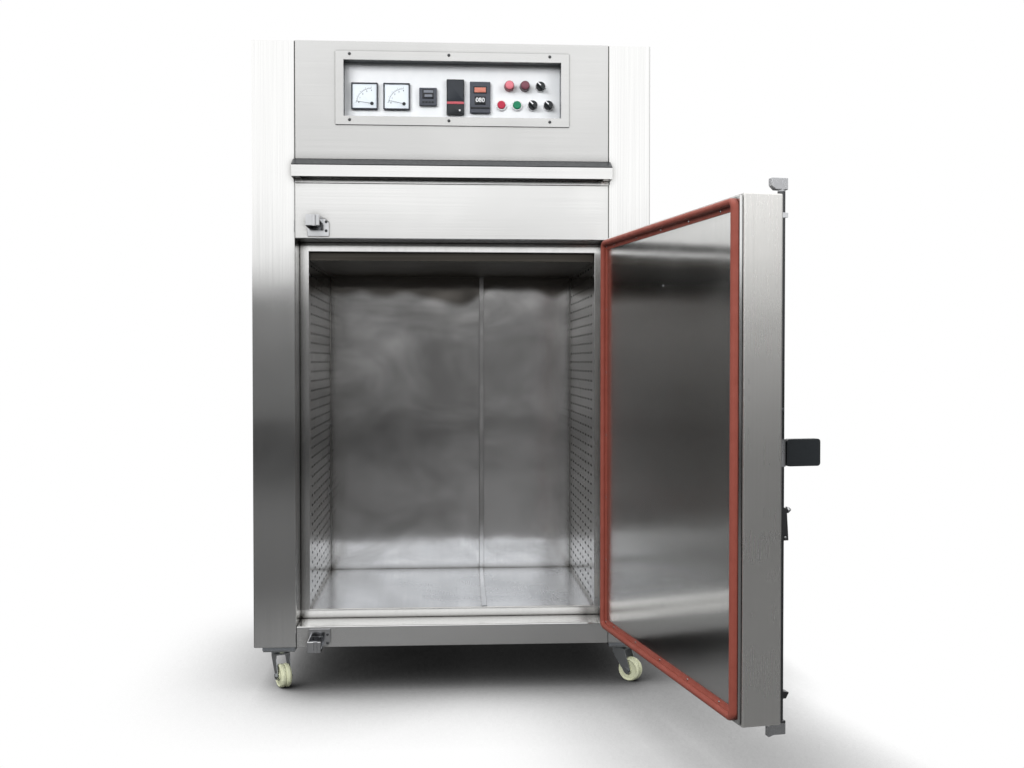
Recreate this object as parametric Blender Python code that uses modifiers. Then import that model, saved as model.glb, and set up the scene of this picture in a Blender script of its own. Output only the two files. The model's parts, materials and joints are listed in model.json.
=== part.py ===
"""Hot-air baking oven for circuit boards: stainless cabinet on four swivel casters.

The oven stands on the floor at z = 0 and its chamber opens towards -Y; +X is the viewer's
right. All lengths are metres. It is drawn about the middle of its front face with the door
shut in its recess; at the end the door is swung open about its hinge axis, and the whole is
set down with the row's origin under the middle of the open oven.
"""
import math

import bmesh
import bpy
from mathutils import Matrix, Vector

OBJECT_NAME = "pcb_baking_oven"

# Chamber and the frame around its mouth
CHAMBER_WIDTH = 0.800
CHAMBER_HEIGHT = 1.000
CHAMBER_DEPTH = 0.600
FRAME_BORDER = 0.025
FRAME_THICKNESS = 0.010
RECESS_DEPTH = 0.100
BAFFLE_DROP = 0.023
BAFFLE_SETBACK = 0.012
LINER_THICKNESS = 0.004
CEILING_THICKNESS = 0.010
SHEET_SEAM_X = 0.095
SEAM_WIDTH = 0.002
SEAM_DEPTH = 0.0015

# Cabinet, from the floor up
CASTER_HEIGHT = 0.103
RAIL_HEIGHT = 0.018
SILL_HEIGHT = 0.057
HEADER_HEIGHT = 0.150
LEDGE_HEIGHT = 0.063
CONTROL_HEIGHT = 0.319
COLUMN_WIDTH = 0.115
REAR_WALL = 0.090
FRONT_PAN = 0.020
ROOF_THICKNESS = 0.020
BACK_THICKNESS = 0.020
RAIL_WIDTH = 0.090
CASING_RADIUS = 0.003
SHEET_RADIUS = 0.002

# Ledge over the door
LEDGE_REACH = 0.045
LEDGE_FALL = 0.022
LEDGE_FACE = 0.030
LEDGE_SHEET = 0.002
LEDGE_OVERLAP = 0.004
LEDGE_CHEEK = 0.018
STRIP_THICKNESS = 0.0015
STRIP_MARGIN = 0.002

# Control panel
BEZEL_WIDTH = 0.632
BEZEL_HEIGHT = 0.198
BEZEL_BORDER_X = 0.022
BEZEL_BORDER_Z = 0.024
BEZEL_THICKNESS = 0.003
BEZEL_DROP = 0.1265
TRAY_DEPTH = 0.035
TRAY_SHEET = 0.002
METER_SIZE = 0.072
METER_PROUD = 0.010
TIMER_SIZE = 0.048
CONTROLLER_HEIGHT = 0.096
THUMBWHEEL_WIDTH = 0.056
THUMBWHEEL_HEIGHT = 0.085
CONTROLLER_PROUD = 0.011
INSTRUMENT_DROP = 0.141
BUTTON_PITCH = 0.043
BUTTONS_IN_ROW = 4
SPARE_SHARES = (0.134, 0.112, 0.190, 0.198, 0.116, 0.119)
LAMP_ROW_DROP = 0.1085
BUTTON_ROW_DROP = 0.160
BEZEL_RING_RADIUS = 0.0145
BEZEL_RING_BORE = 0.0115
BEZEL_RING_DEPTH = 0.006
LAMP_RADIUS = 0.0145
LAMP_PROUD = 0.020
CAP_RADIUS = 0.0110
CAP_PROUD = 0.010
KNOB_RADIUS = 0.0125
KNOB_PROUD = 0.022
KNOB_REST_ANGLE = math.radians(-45)

# Door, shut
DOOR_CLEARANCE = 0.005
DOOR_THICKNESS = 0.0825
DOOR_EDGE_RADIUS = 0.003
PAN_STEP = 0.0065
PAN_INSET = 0.005
GASKET_WIDTH = 0.016
GASKET_HEIGHT = 0.013
GASKET_INSET = 0.008
GASKET_CORNER = 0.022
GASKET_ROUND = 0.0055
GASKET_SQUEEZE_GAP = 0.0005
HINGE_OFFSET = 0.062
HINGE_AXIS_Y = -0.015
HINGE_RADIUS = 0.010
HINGE_PIN_RADIUS = 0.005
HINGE_HEIGHT = 0.110
HINGE_END_OFFSET = 0.160
HINGE_LEAF = 0.008
HINGE_BODY_REACH = 0.040
HINGE_STRAP_REACH = 0.120
PIN_CLEARANCE = 0.0004
DOOR_OPEN_ANGLE = math.radians(100)

# Rotating rod lock on the door's outer face
ROD_INSET = 0.080
ROD_STANDOFF = 0.0364
ROD_RADIUS = 0.008
TOP_CLAW_RISE = 0.0195
TOP_CLAW_HEIGHT = 0.024
TOP_CLAW_REACH = 0.025
BOTTOM_CLAW_DROP = 0.0165
BOTTOM_CLAW_HEIGHT = 0.0285
BOTTOM_CLAW_REACH = 0.027
CLAW_BACK = 0.011
CLAW_HALF_WIDTH = 0.008
CLAW_CHAMFER = 0.009
CLAW_NOSE = 0.012
CLAW_NOSE_DROP = 0.004
CLAW_CLEARANCE = 0.005
KEEPER_INSET = 0.053
KEEPER_WIDTH = 0.039
KEEPER_HEIGHT = 0.053
KEEPER_FRONT = 0.032
KEEPER_DEPTH = 0.060
KEEPER_WALL = 0.0035
KEEPER_TAB = 0.019
KEEPER_TAB_SHORT = 0.006
KEEPER_ROLLER_RADIUS = 0.0065
KEEPER_ROLLER_SHIFT = 0.004
KEEPER_SETBACK = 0.006
KEEPER_CHAMFER = 0.010
GRIP_LENGTH = 0.0745
GRIP_HEIGHT = 0.0555
GRIP_THICKNESS = 0.016
GRIP_FOOT = 0.011
HUB_RADIUS = 0.0105
HANDLE_DROP = 0.5115
GUIDE_WIDTH = 0.020
GUIDE_WALL = 0.002
UPPER_GUIDE_DROP = 0.039
UPPER_GUIDE_HEIGHT = 0.015
LOWER_GUIDE_RISE = 0.029
LOWER_GUIDE_HEIGHT = 0.023
LOWER_GUIDE_LIP = 0.008
CATCH_HEIGHT = 0.066
CATCH_WALL = 0.004
CATCH_DROP = 0.689

# Casters
CASTER_INSET_X = 0.062
CASTER_INSET_Y = 0.075
CASTER_PLATE_X = 0.086
CASTER_PLATE_Y = 0.070
CASTER_PLATE_THICKNESS = 0.003
RACE_RADIUS = 0.021
RACE_HEIGHT = 0.009
CASTER_TRAIL = 0.026
WHEEL_RADIUS = 0.0325
WHEEL_WIDTH = 0.032
AXLE_RADIUS = 0.004
AXLE_END = 0.005
FORK_SHEET = 0.0025
FORK_SIDE_GAP = 0.002
FORK_EYE_RADIUS = 0.011
FORK_TOP_HALF = 0.020
CASTER_ANGLES = {
    "front_left": math.radians(25),
    "front_right": math.radians(50),
    "rear_left": math.radians(160),
    "rear_right": math.radians(205),
}

# Distance kept between pieces that touch
FIT = 0.0003

# Middle of the open oven's footprint, measured from the middle of its front face
FOOTPRINT_X = 0.098
FOOTPRINT_Y = -0.062

# Levels and planes that follow from the sizes above
RECESS_WIDTH = CHAMBER_WIDTH + 2 * FRAME_BORDER
RECESS_HEIGHT = CHAMBER_HEIGHT + 2 * FRAME_BORDER
BODY_WIDTH = RECESS_WIDTH + 2 * COLUMN_WIDTH
HALF_RECESS = RECESS_WIDTH / 2
HALF_BODY = BODY_WIDTH / 2
HALF_CHAMBER = CHAMBER_WIDTH / 2
FRAME_BACK_Y = RECESS_DEPTH + FRAME_THICKNESS
CHAMBER_BACK_Y = FRAME_BACK_Y + CHAMBER_DEPTH
BODY_DEPTH = CHAMBER_BACK_Y + REAR_WALL
BODY_BOTTOM = CASTER_HEIGHT + RAIL_HEIGHT
SILL_TOP = BODY_BOTTOM + SILL_HEIGHT
RECESS_TOP = SILL_TOP + RECESS_HEIGHT
HEADER_TOP = RECESS_TOP + HEADER_HEIGHT
LEDGE_TOP = HEADER_TOP + LEDGE_HEIGHT
BODY_TOP = LEDGE_TOP + CONTROL_HEIGHT
CHAMBER_FLOOR = SILL_TOP + FRAME_BORDER
FRAME_OPENING_TOP = RECESS_TOP - FRAME_BORDER
BAFFLE_Z = FRAME_OPENING_TOP - BAFFLE_DROP
BEZEL_Z = BODY_TOP - BEZEL_DROP
INSTRUMENT_Z = BODY_TOP - INSTRUMENT_DROP
LAMP_ROW_Z = BODY_TOP - LAMP_ROW_DROP
BUTTON_ROW_Z = BODY_TOP - BUTTON_ROW_DROP
DOOR_WIDTH = RECESS_WIDTH - 2 * DOOR_CLEARANCE
DOOR_HEIGHT = RECESS_HEIGHT - 2 * DOOR_CLEARANCE
DOOR_LEFT_X = -HALF_RECESS + DOOR_CLEARANCE
DOOR_RIGHT_X = HALF_RECESS - DOOR_CLEARANCE
DOOR_BOTTOM = SILL_TOP + DOOR_CLEARANCE
DOOR_TOP = RECESS_TOP - DOOR_CLEARANCE
PAN_FACE_Y = RECESS_DEPTH - GASKET_HEIGHT - GASKET_SQUEEZE_GAP
DOOR_INNER_Y = PAN_FACE_Y - PAN_STEP
DOOR_OUTER_Y = DOOR_INNER_Y - DOOR_THICKNESS
HINGE_AXIS_X = HALF_RECESS + HINGE_OFFSET
CASTER_X = HALF_BODY - CASTER_INSET_X
ROD_X = DOOR_LEFT_X + ROD_INSET
ROD_Y = DOOR_OUTER_Y - ROD_STANDOFF
TOP_CLAW_Z = DOOR_TOP + TOP_CLAW_RISE
BOTTOM_CLAW_Z = DOOR_BOTTOM - BOTTOM_CLAW_DROP
HANDLE_Z = DOOR_TOP - HANDLE_DROP
CATCH_BOTTOM = DOOR_TOP - CATCH_DROP
KEEPER_X = -HALF_RECESS + KEEPER_INSET

# Instruments along the tray: fixed sizes, with the spare width shared out between them
WINDOW_WIDTH = BEZEL_WIDTH - 2 * BEZEL_BORDER_X
BUTTON_BLOCK = (BUTTONS_IN_ROW - 1) * BUTTON_PITCH + 2 * BEZEL_RING_RADIUS
INSTRUMENT_WIDTHS = (METER_SIZE, METER_SIZE, TIMER_SIZE, TIMER_SIZE, THUMBWHEEL_WIDTH, BUTTON_BLOCK)
SPARE_WIDTH = WINDOW_WIDTH - sum(INSTRUMENT_WIDTHS)
INSTRUMENT_STARTS = [
    -WINDOW_WIDTH / 2 + SPARE_WIDTH * sum(SPARE_SHARES[:i + 1]) + sum(INSTRUMENT_WIDTHS[:i])
    for i in range(len(INSTRUMENT_WIDTHS))
]
METER_1_X, METER_2_X, TIMER_X, LIMITER_X, THUMBWHEEL_X = [
    start + width / 2 for start, width in zip(INSTRUMENT_STARTS[:5], INSTRUMENT_WIDTHS[:5])
]
BUTTON_ROW_X = INSTRUMENT_STARTS[5] + BEZEL_RING_RADIUS
LAMP_ROW_X = BUTTON_ROW_X + BUTTON_PITCH / 2


def clear_scene():
    for old in list(bpy.data.objects):
        bpy.data.objects.remove(old, do_unlink=True)


def new_collection(name):
    group = bpy.data.collections.new(name)
    bpy.context.scene.collection.children.link(group)
    return group


def metal_or_plastic(name, colour, roughness, metallic):
    mat = bpy.data.materials.new(name)
    mat.use_nodes = True
    shader = mat.node_tree.nodes["Principled BSDF"]
    shader.inputs["Base Color"].default_value = (*colour, 1.0)
    shader.inputs["Roughness"].default_value = roughness
    shader.inputs["Metallic"].default_value = metallic
    return mat


clear_scene()
PARTS = new_collection(OBJECT_NAME)
TOOLS = new_collection("cutters")

STEEL = metal_or_plastic("brushed_stainless_steel", (0.55, 0.55, 0.54), 0.32, 1.0)
LINER = metal_or_plastic("chamber_stainless_sheet", (0.42, 0.42, 0.41), 0.28, 1.0)
PLATE = metal_or_plastic("anodised_aluminium_plate", (0.74, 0.76, 0.79), 0.45, 0.6)
CHROME = metal_or_plastic("chromed_die_casting", (0.72, 0.72, 0.73), 0.12, 1.0)
ZINC = metal_or_plastic("zinc_plated_steel", (0.50, 0.51, 0.52), 0.38, 1.0)
SILICONE = metal_or_plastic("red_silicone_rubber", (0.32, 0.08, 0.05), 0.65, 0.0)
BLACK = metal_or_plastic("black_moulded_plastic", (0.02, 0.022, 0.025), 0.4, 0.0)
GREY = metal_or_plastic("grey_instrument_case", (0.08, 0.085, 0.10), 0.45, 0.0)
RED = metal_or_plastic("red_lens", (0.60, 0.10, 0.14), 0.25, 0.0)
DARK_RED = metal_or_plastic("dark_red_lens", (0.25, 0.06, 0.08), 0.25, 0.0)
GREEN = metal_or_plastic("green_cap", (0.02, 0.28, 0.17), 0.3, 0.0)
NYLON = metal_or_plastic("cream_nylon", (0.70, 0.72, 0.50), 0.5, 0.0)


def adopt(obj, name, mat, group=PARTS):
    """Name an object, give it its finish and move it to its collection."""
    obj.name = name
    obj.data.name = name
    for owner in list(obj.users_collection):
        owner.objects.unlink(obj)
    group.objects.link(obj)
    obj.data.materials.clear()
    if mat is not None:
        obj.data.materials.append(mat)
    return obj


def bevel(obj, width, segments=2):
    """Round an object's sharp edges, as folded or moulded edges are."""
    mod = obj.modifiers.new("rounded_edges", "BEVEL")
    mod.width = width
    mod.segments = segments
    mod.limit_method = "ANGLE"
    mod.angle_limit = math.radians(40)
    return obj


def box(name, low, high, mat, radius=0.0, segments=2):
    """Rectangular solid between two corners, with its origin at its centre."""
    low = Vector(low)
    high = Vector(high)
    bpy.ops.mesh.primitive_cube_add(size=1.0, location=(low + high) / 2)
    obj = bpy.context.object
    obj.data.transform(Matrix.Diagonal((*(high - low), 1.0)))
    adopt(obj, name, mat)
    if radius > 0:
        bevel(obj, radius, segments)
    return obj


def cylinder(name, radius, depth, centre, axis, mat, sides=32, top_radius=None):
    """Round solid (or cone) along a row axis, centred on a point."""
    mesh = bpy.data.meshes.new(name)
    shape = bmesh.new()
    far_radius = radius if top_radius is None else top_radius
    bmesh.ops.create_cone(shape, cap_ends=True, segments=sides, radius1=radius,
                          radius2=far_radius, depth=depth)
    turn = Vector((0, 0, 1)).rotation_difference(Vector(axis)).to_matrix().to_4x4()
    bmesh.ops.transform(shape, matrix=turn, verts=shape.verts)
    shape.to_mesh(mesh)
    shape.free()
    mesh.shade_smooth()
    mesh.set_sharp_from_angle(angle=math.radians(40))
    obj = bpy.data.objects.new(name, mesh)
    bpy.context.scene.collection.objects.link(obj)
    obj.location = centre
    return adopt(obj, name, mat)


def extrusion(name, outline, thickness, placing, mat):
    """Flat outline, extruded to a plate of a given thickness and placed by a matrix."""
    curve = bpy.data.curves.new(name, "CURVE")
    curve.dimensions = "2D"
    curve.fill_mode = "BOTH"
    curve.extrude = thickness / 2
    spline = curve.splines.new("POLY")
    spline.points.add(len(outline) - 1)
    for point, (u, v) in zip(spline.points, outline):
        point.co = (u, v, 0.0, 1.0)
    spline.use_cyclic_u = True
    drawn = bpy.data.objects.new(name, curve)
    bpy.context.scene.collection.objects.link(drawn)
    drawn.matrix_world = placing
    bpy.context.view_layer.update()
    return curve_to_mesh(drawn, name, mat)


def curve_to_mesh(drawn, name, mat):
    """Turn a drawn curve into a closed mesh at the same place."""
    graph = bpy.context.evaluated_depsgraph_get()
    mesh = bpy.data.meshes.new_from_object(drawn.evaluated_get(graph))
    shape = bmesh.new()
    shape.from_mesh(mesh)
    bmesh.ops.remove_doubles(shape, verts=shape.verts, dist=0.00001)
    bmesh.ops.recalc_face_normals(shape, faces=shape.faces)
    shape.to_mesh(mesh)
    shape.free()
    solid = bpy.data.objects.new(name, mesh)
    bpy.context.scene.collection.objects.link(solid)
    solid.matrix_world = drawn.matrix_world
    bpy.data.objects.remove(drawn, do_unlink=True)
    return adopt(solid, name, mat)


def combine(target, tool, operation):
    """Join a tool to a piece, or cut it away, and drop the tool."""
    bpy.context.view_layer.update()
    mod = target.modifiers.new("join", "BOOLEAN")
    mod.operation = operation
    mod.object = tool
    mod.solver = "EXACT"
    graph = bpy.context.evaluated_depsgraph_get()
    mesh = bpy.data.meshes.new_from_object(target.evaluated_get(graph))
    target.modifiers.clear()
    old = target.data
    finish = old.materials[0] if len(old.materials) else None
    target.data = mesh
    mesh.materials.clear()
    if finish is not None:
        mesh.materials.append(finish)
    bpy.data.meshes.remove(old)
    bpy.data.objects.remove(tool, do_unlink=True)
    return target


def cut(target, tool):
    return combine(target, tool, "DIFFERENCE")


def fuse(target, tool):
    return combine(target, tool, "UNION")


def empty_at(name, place):
    guide = bpy.data.objects.new(name, None)
    TOOLS.objects.link(guide)
    guide.location = place
    guide.hide_render = True
    guide.empty_display_size = 0.05
    bpy.context.view_layer.update()
    return guide


def hang_on(guide, *objects):
    """Parent objects to a guide and keep them where they are."""
    bpy.context.view_layer.update()
    for obj in objects:
        obj.parent = guide
        obj.matrix_parent_inverse = guide.matrix_world.inverted()


def set_origin(obj, point):
    """Move an object's origin to a point without moving its shape."""
    bpy.context.view_layer.update()
    shift = obj.matrix_world.inverted() @ Vector(point)
    obj.data.transform(Matrix.Translation(-shift))
    obj.location = obj.matrix_world @ shift
    return obj


# Planes in which outlines are drawn: first axis, second axis, extrusion axis
def plane_yz(x):
    """Outline (y, z), extruded along X."""
    return Matrix(((0, 0, 1, x), (1, 0, 0, 0), (0, 1, 0, 0), (0, 0, 0, 1)))


def plane_xz(y):
    """Outline (x, z), extruded along Y."""
    return Matrix(((1, 0, 0, 0), (0, 0, -1, y), (0, 1, 0, 0), (0, 0, 0, 1)))


def round_outline(half_u, half_v, radius, steps=4):
    """Rectangle about the origin with rounded corners."""
    points = []
    for quarter, (su, sv) in enumerate(((1, 1), (-1, 1), (-1, -1), (1, -1))):
        for step in range(steps + 1):
            angle = math.pi / 2 * (quarter + step / steps)
            points.append((su * (half_u - radius) + radius * math.cos(angle),
                           sv * (half_v - radius) + radius * math.sin(angle)))
    return points


def ring_frame(name, half_out, half_in, centre_z, low_y, high_y, mat, radius=0.0):
    """Rectangular ring in the XZ plane: (half width, half height) outside and inside."""
    ring = box(name, (-half_out[0], low_y, centre_z - half_out[1]),
               (half_out[0], high_y, centre_z + half_out[1]), mat)
    reach = 0.01
    hole = box(name + "_hole", (-half_in[0], low_y - reach, centre_z - half_in[1]),
               (half_in[0], high_y + reach, centre_z + half_in[1]), None)
    cut(ring, hole)
    if radius > 0:
        bevel(ring, radius)
    return ring


def build_casings():
    """Side casings: the two insulated flanks whose front edges are the plain columns."""
    for side, name in ((-1, "left_side_casing"), (1, "right_side_casing")):
        inner = side * (HALF_RECESS + FIT)
        outer = side * HALF_BODY
        box(name, (min(inner, outer), 0, BODY_BOTTOM), (max(inner, outer), BODY_DEPTH, BODY_TOP),
            STEEL, CASING_RADIUS)


def build_shell():
    """Roof, back, base with its sill, and the insulated header over the door."""
    box("roof_panel", (-HALF_RECESS, FRONT_PAN + FIT, BODY_TOP - ROOF_THICKNESS),
        (HALF_RECESS, BODY_DEPTH, BODY_TOP), STEEL, SHEET_RADIUS, 1)
    box("back_panel", (-HALF_RECESS, BODY_DEPTH - BACK_THICKNESS, BODY_BOTTOM),
        (HALF_RECESS, BODY_DEPTH, BODY_TOP - ROOF_THICKNESS - FIT), STEEL, SHEET_RADIUS, 1)
    box("base_panel", (-HALF_RECESS, 0, BODY_BOTTOM),
        (HALF_RECESS, BODY_DEPTH - BACK_THICKNESS - FIT, SILL_TOP), STEEL, SHEET_RADIUS)
    box("header_panel", (-HALF_RECESS, 0, RECESS_TOP + FIT),
        (HALF_RECESS, FRAME_BACK_Y, HEADER_TOP), STEEL, SHEET_RADIUS)


def build_ledge():
    """Hood over the door: sloped top under a black strip, upright face, hollow below."""
    low = HEADER_TOP + FIT
    high = LEDGE_TOP - FIT
    face_top = high - LEDGE_FALL
    face_low = face_top - LEDGE_FACE
    outline = [(FRONT_PAN, low), (FRONT_PAN, high), (0, high), (-LEDGE_REACH, face_top),
               (-LEDGE_REACH, face_low), (0, face_low), (0, low)]
    hood = extrusion("heat_ledge", outline, RECESS_WIDTH + 2 * LEDGE_OVERLAP, plane_yz(0), STEEL)
    wall = LEDGE_SHEET * 2
    hollow = [(-LEDGE_SHEET, face_low - wall), (-LEDGE_SHEET, high - wall),
              (-LEDGE_REACH + LEDGE_SHEET, face_top - wall), (-LEDGE_REACH + LEDGE_SHEET, face_low - wall)]
    cut(hood, extrusion("ledge_hollow", hollow, RECESS_WIDTH - 2 * LEDGE_CHEEK, plane_yz(0), None))
    for side in (-1, 1):
        column = (side * HALF_RECESS, side * (HALF_RECESS + COLUMN_WIDTH))
        cut(hood, box("column_room", (min(column), -FIT, low - wall),
                      (max(column), FRONT_PAN + wall, high + wall), None))
    slope = (Vector((-LEDGE_REACH, face_top)) - Vector((0, high))).normalized()
    out = Vector((slope.y, -slope.x))
    start = Vector((0, high)) + slope * STRIP_MARGIN
    end = Vector((-LEDGE_REACH, face_top)) - slope * STRIP_MARGIN
    strip = [start + out * FIT, end + out * FIT, end + out * (FIT + STRIP_THICKNESS),
             start + out * (FIT + STRIP_THICKNESS)]
    extrusion("ledge_strip", strip, RECESS_WIDTH + 2 * LEDGE_OVERLAP, plane_yz(0), BLACK)


def build_door_frame():
    """Flat frame at the bottom of the door recess, which the gasket seals on."""
    centre = (SILL_TOP + RECESS_TOP) / 2
    ring_frame("door_frame", (HALF_RECESS, RECESS_HEIGHT / 2 - FIT),
               (HALF_CHAMBER, CHAMBER_HEIGHT / 2), centre, RECESS_DEPTH, FRAME_BACK_Y - FIT,
               STEEL, 0.001)


def build_chamber():
    """Chamber liner: back and floor of two sheets, ceiling with its baffle, air-duct panels."""
    back = box("chamber_back", (-HALF_CHAMBER, CHAMBER_BACK_Y, CHAMBER_FLOOR + FIT),
               (HALF_CHAMBER, CHAMBER_BACK_Y + LINER_THICKNESS, BAFFLE_Z - FIT), LINER)
    half = SEAM_WIDTH / 2
    cut(back, box("back_seam", (SHEET_SEAM_X - half, CHAMBER_BACK_Y - SEAM_DEPTH, SILL_TOP),
                  (SHEET_SEAM_X + half, CHAMBER_BACK_Y + SEAM_DEPTH, RECESS_TOP), None))
    floor = box("chamber_floor", (-HALF_RECESS, FRAME_BACK_Y, SILL_TOP + FIT),
                (HALF_RECESS, BODY_DEPTH - BACK_THICKNESS - FIT, CHAMBER_FLOOR), LINER)
    cut(floor, box("floor_seam", (SHEET_SEAM_X - half, 0, CHAMBER_FLOOR - SEAM_DEPTH),
                   (SHEET_SEAM_X + half, BODY_DEPTH, CHAMBER_FLOOR + SEAM_DEPTH), None))
    box("chamber_ceiling", (-HALF_RECESS, FRAME_BACK_Y, RECESS_TOP - CEILING_THICKNESS),
        (HALF_RECESS, BODY_DEPTH - BACK_THICKNESS - FIT, RECESS_TOP), LINER)
    box("ceiling_baffle", (-HALF_RECESS + FIT, FRAME_BACK_Y + BAFFLE_SETBACK, BAFFLE_Z),
        (HALF_RECESS - FIT, CHAMBER_BACK_Y + LINER_THICKNESS, BAFFLE_Z + LINER_THICKNESS), LINER)
    for side, name in ((-1, "left_duct_panel"), (1, "right_duct_panel")):
        near = side * (HALF_CHAMBER + FIT)
        far = side * (HALF_CHAMBER + FIT + LINER_THICKNESS)
        box(name, (min(near, far), FRAME_BACK_Y, CHAMBER_FLOOR + FIT),
            (max(near, far), CHAMBER_BACK_Y + LINER_THICKNESS, BAFFLE_Z - FIT), LINER)


def build_control_front():
    """Front sheet with its window, the picture-frame bezel and the recessed tray."""
    half_window = (BEZEL_WIDTH / 2 - BEZEL_BORDER_X, BEZEL_HEIGHT / 2 - BEZEL_BORDER_Z)
    half_cut = (half_window[0] + TRAY_SHEET + FIT, half_window[1] + TRAY_SHEET + FIT)
    sheet = box("control_front_sheet", (-HALF_RECESS, 0, LEDGE_TOP),
                (HALF_RECESS, FRONT_PAN, BODY_TOP), STEEL, SHEET_RADIUS, 1)
    reach = 0.01
    cut(sheet, box("window", (-half_cut[0], -reach, BEZEL_Z - half_cut[1]),
                   (half_cut[0], FRONT_PAN + reach, BEZEL_Z + half_cut[1]), None))
    ring_frame("control_bezel", (BEZEL_WIDTH / 2, BEZEL_HEIGHT / 2), half_window, BEZEL_Z,
               -FIT - BEZEL_THICKNESS, -FIT, STEEL, 0.0008)
    half_tray = (half_window[0] + TRAY_SHEET, half_window[1] + TRAY_SHEET)
    tray = box("instrument_tray", (-half_tray[0], 0, BEZEL_Z - half_tray[1]),
               (half_tray[0], TRAY_DEPTH + TRAY_SHEET, BEZEL_Z + half_tray[1]), PLATE)
    cut(tray, box("tray_hollow", (-half_window[0], -reach, BEZEL_Z - half_window[1]),
                  (half_window[0], TRAY_DEPTH, BEZEL_Z + half_window[1]), None))
    ring_middle = TRAY_DEPTH - BEZEL_RING_DEPTH / 2
    for x, z in ring_places():
        depth = BEZEL_RING_DEPTH + TRAY_SHEET / 2
        middle = ring_middle + TRAY_SHEET / 4
        fuse(tray, cylinder("ring", BEZEL_RING_RADIUS, depth, (x, middle, z), (0, -1, 0), None, 24))
        cut(tray, cylinder("ring_bore", BEZEL_RING_BORE, TRAY_DEPTH, (x, TRAY_DEPTH, z), (0, -1, 0),
                           None, 24))


def ring_places():
    """Centres of the bezel rings: one selector above, two buttons and two selectors below."""
    lower = [(BUTTON_ROW_X + i * BUTTON_PITCH, BUTTON_ROW_Z) for i in range(BUTTONS_IN_ROW)]
    return [(LAMP_ROW_X + 2 * BUTTON_PITCH, LAMP_ROW_Z)] + lower


def instrument(name, x, width, height, proud, mat):
    """Panel instrument seated on the tray's plate."""
    seat = TRAY_DEPTH - FIT
    return box(name, (x - width / 2, seat - proud, INSTRUMENT_Z - height / 2),
               (x + width / 2, seat, INSTRUMENT_Z + height / 2), mat, 0.0012, 1)


def build_instruments():
    """Two square meters, three controllers, two lamps, three selectors and two buttons."""
    for name, x in (("voltage_meter", METER_1_X), ("current_meter", METER_2_X)):
        instrument(name, x, METER_SIZE, METER_SIZE, METER_PROUD, GREY)
    instrument("timer", TIMER_X, TIMER_SIZE, TIMER_SIZE, CONTROLLER_PROUD, GREY)
    instrument("limit_controller", LIMITER_X, TIMER_SIZE, CONTROLLER_HEIGHT, CONTROLLER_PROUD, BLACK)
    instrument("temperature_controller", THUMBWHEEL_X, THUMBWHEEL_WIDTH, THUMBWHEEL_HEIGHT,
               CONTROLLER_PROUD, GREY)
    seat = TRAY_DEPTH - FIT
    for index, (name, mat) in enumerate((("power_lamp", RED), ("alarm_lamp", DARK_RED))):
        x = LAMP_ROW_X + index * BUTTON_PITCH
        lamp = cylinder(name, LAMP_RADIUS, LAMP_PROUD, (x, seat - LAMP_PROUD / 2, LAMP_ROW_Z),
                        (0, -1, 0), mat, 28, LAMP_RADIUS * 0.86)
        bevel(lamp, 0.0015, 2)
    for name, mat, index in (("red_button", RED, 1), ("green_button", GREEN, 2)):
        x, z = ring_places()[index]
        back = TRAY_DEPTH + TRAY_SHEET
        front = TRAY_DEPTH - CAP_PROUD
        cap = cylinder(name, CAP_RADIUS, back - front, (x, (back + front) / 2, z), (0, -1, 0), mat, 24)
        bevel(cap, 0.0012, 1)
    for name, index in (("upper_selector", 0), ("lower_selector", 3), ("right_selector", 4)):
        build_selector(name, *ring_places()[index])


def build_selector(name, x, z):
    """Selector knob: round skirt with a raised finger bar, on a shaft in the ring's bore."""
    skirt_back = TRAY_DEPTH - BEZEL_RING_DEPTH - FIT
    skirt = 0.006
    middle = skirt_back - skirt / 2
    knob = cylinder(name, KNOB_RADIUS, skirt, (x, middle, z), (0, -1, 0), BLACK, 24)
    front = TRAY_DEPTH - KNOB_PROUD
    bar_half = 0.0038
    bar = box("bar", (x - bar_half, front, z - KNOB_RADIUS * 0.92),
              (x + bar_half, middle, z + KNOB_RADIUS * 0.92), None)
    fuse(knob, bar)
    shaft_back = TRAY_DEPTH + TRAY_SHEET
    fuse(knob, cylinder("shaft", BEZEL_RING_BORE - PIN_CLEARANCE, shaft_back - middle,
                        (x, (shaft_back + middle) / 2, z), (0, -1, 0), None, 24))
    set_origin(knob, (x, middle, z))
    bevel(knob, 0.0006, 1)
    knob.rotation_euler.y = KNOB_REST_ANGLE


def span(name, x_pair, y_pair, z_pair, radius=0.0):
    """Tool box between pairs of coordinates given in either order."""
    pairs = (x_pair, y_pair, z_pair)
    return box(name, [min(pair) for pair in pairs], [max(pair) for pair in pairs], None, radius)


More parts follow.
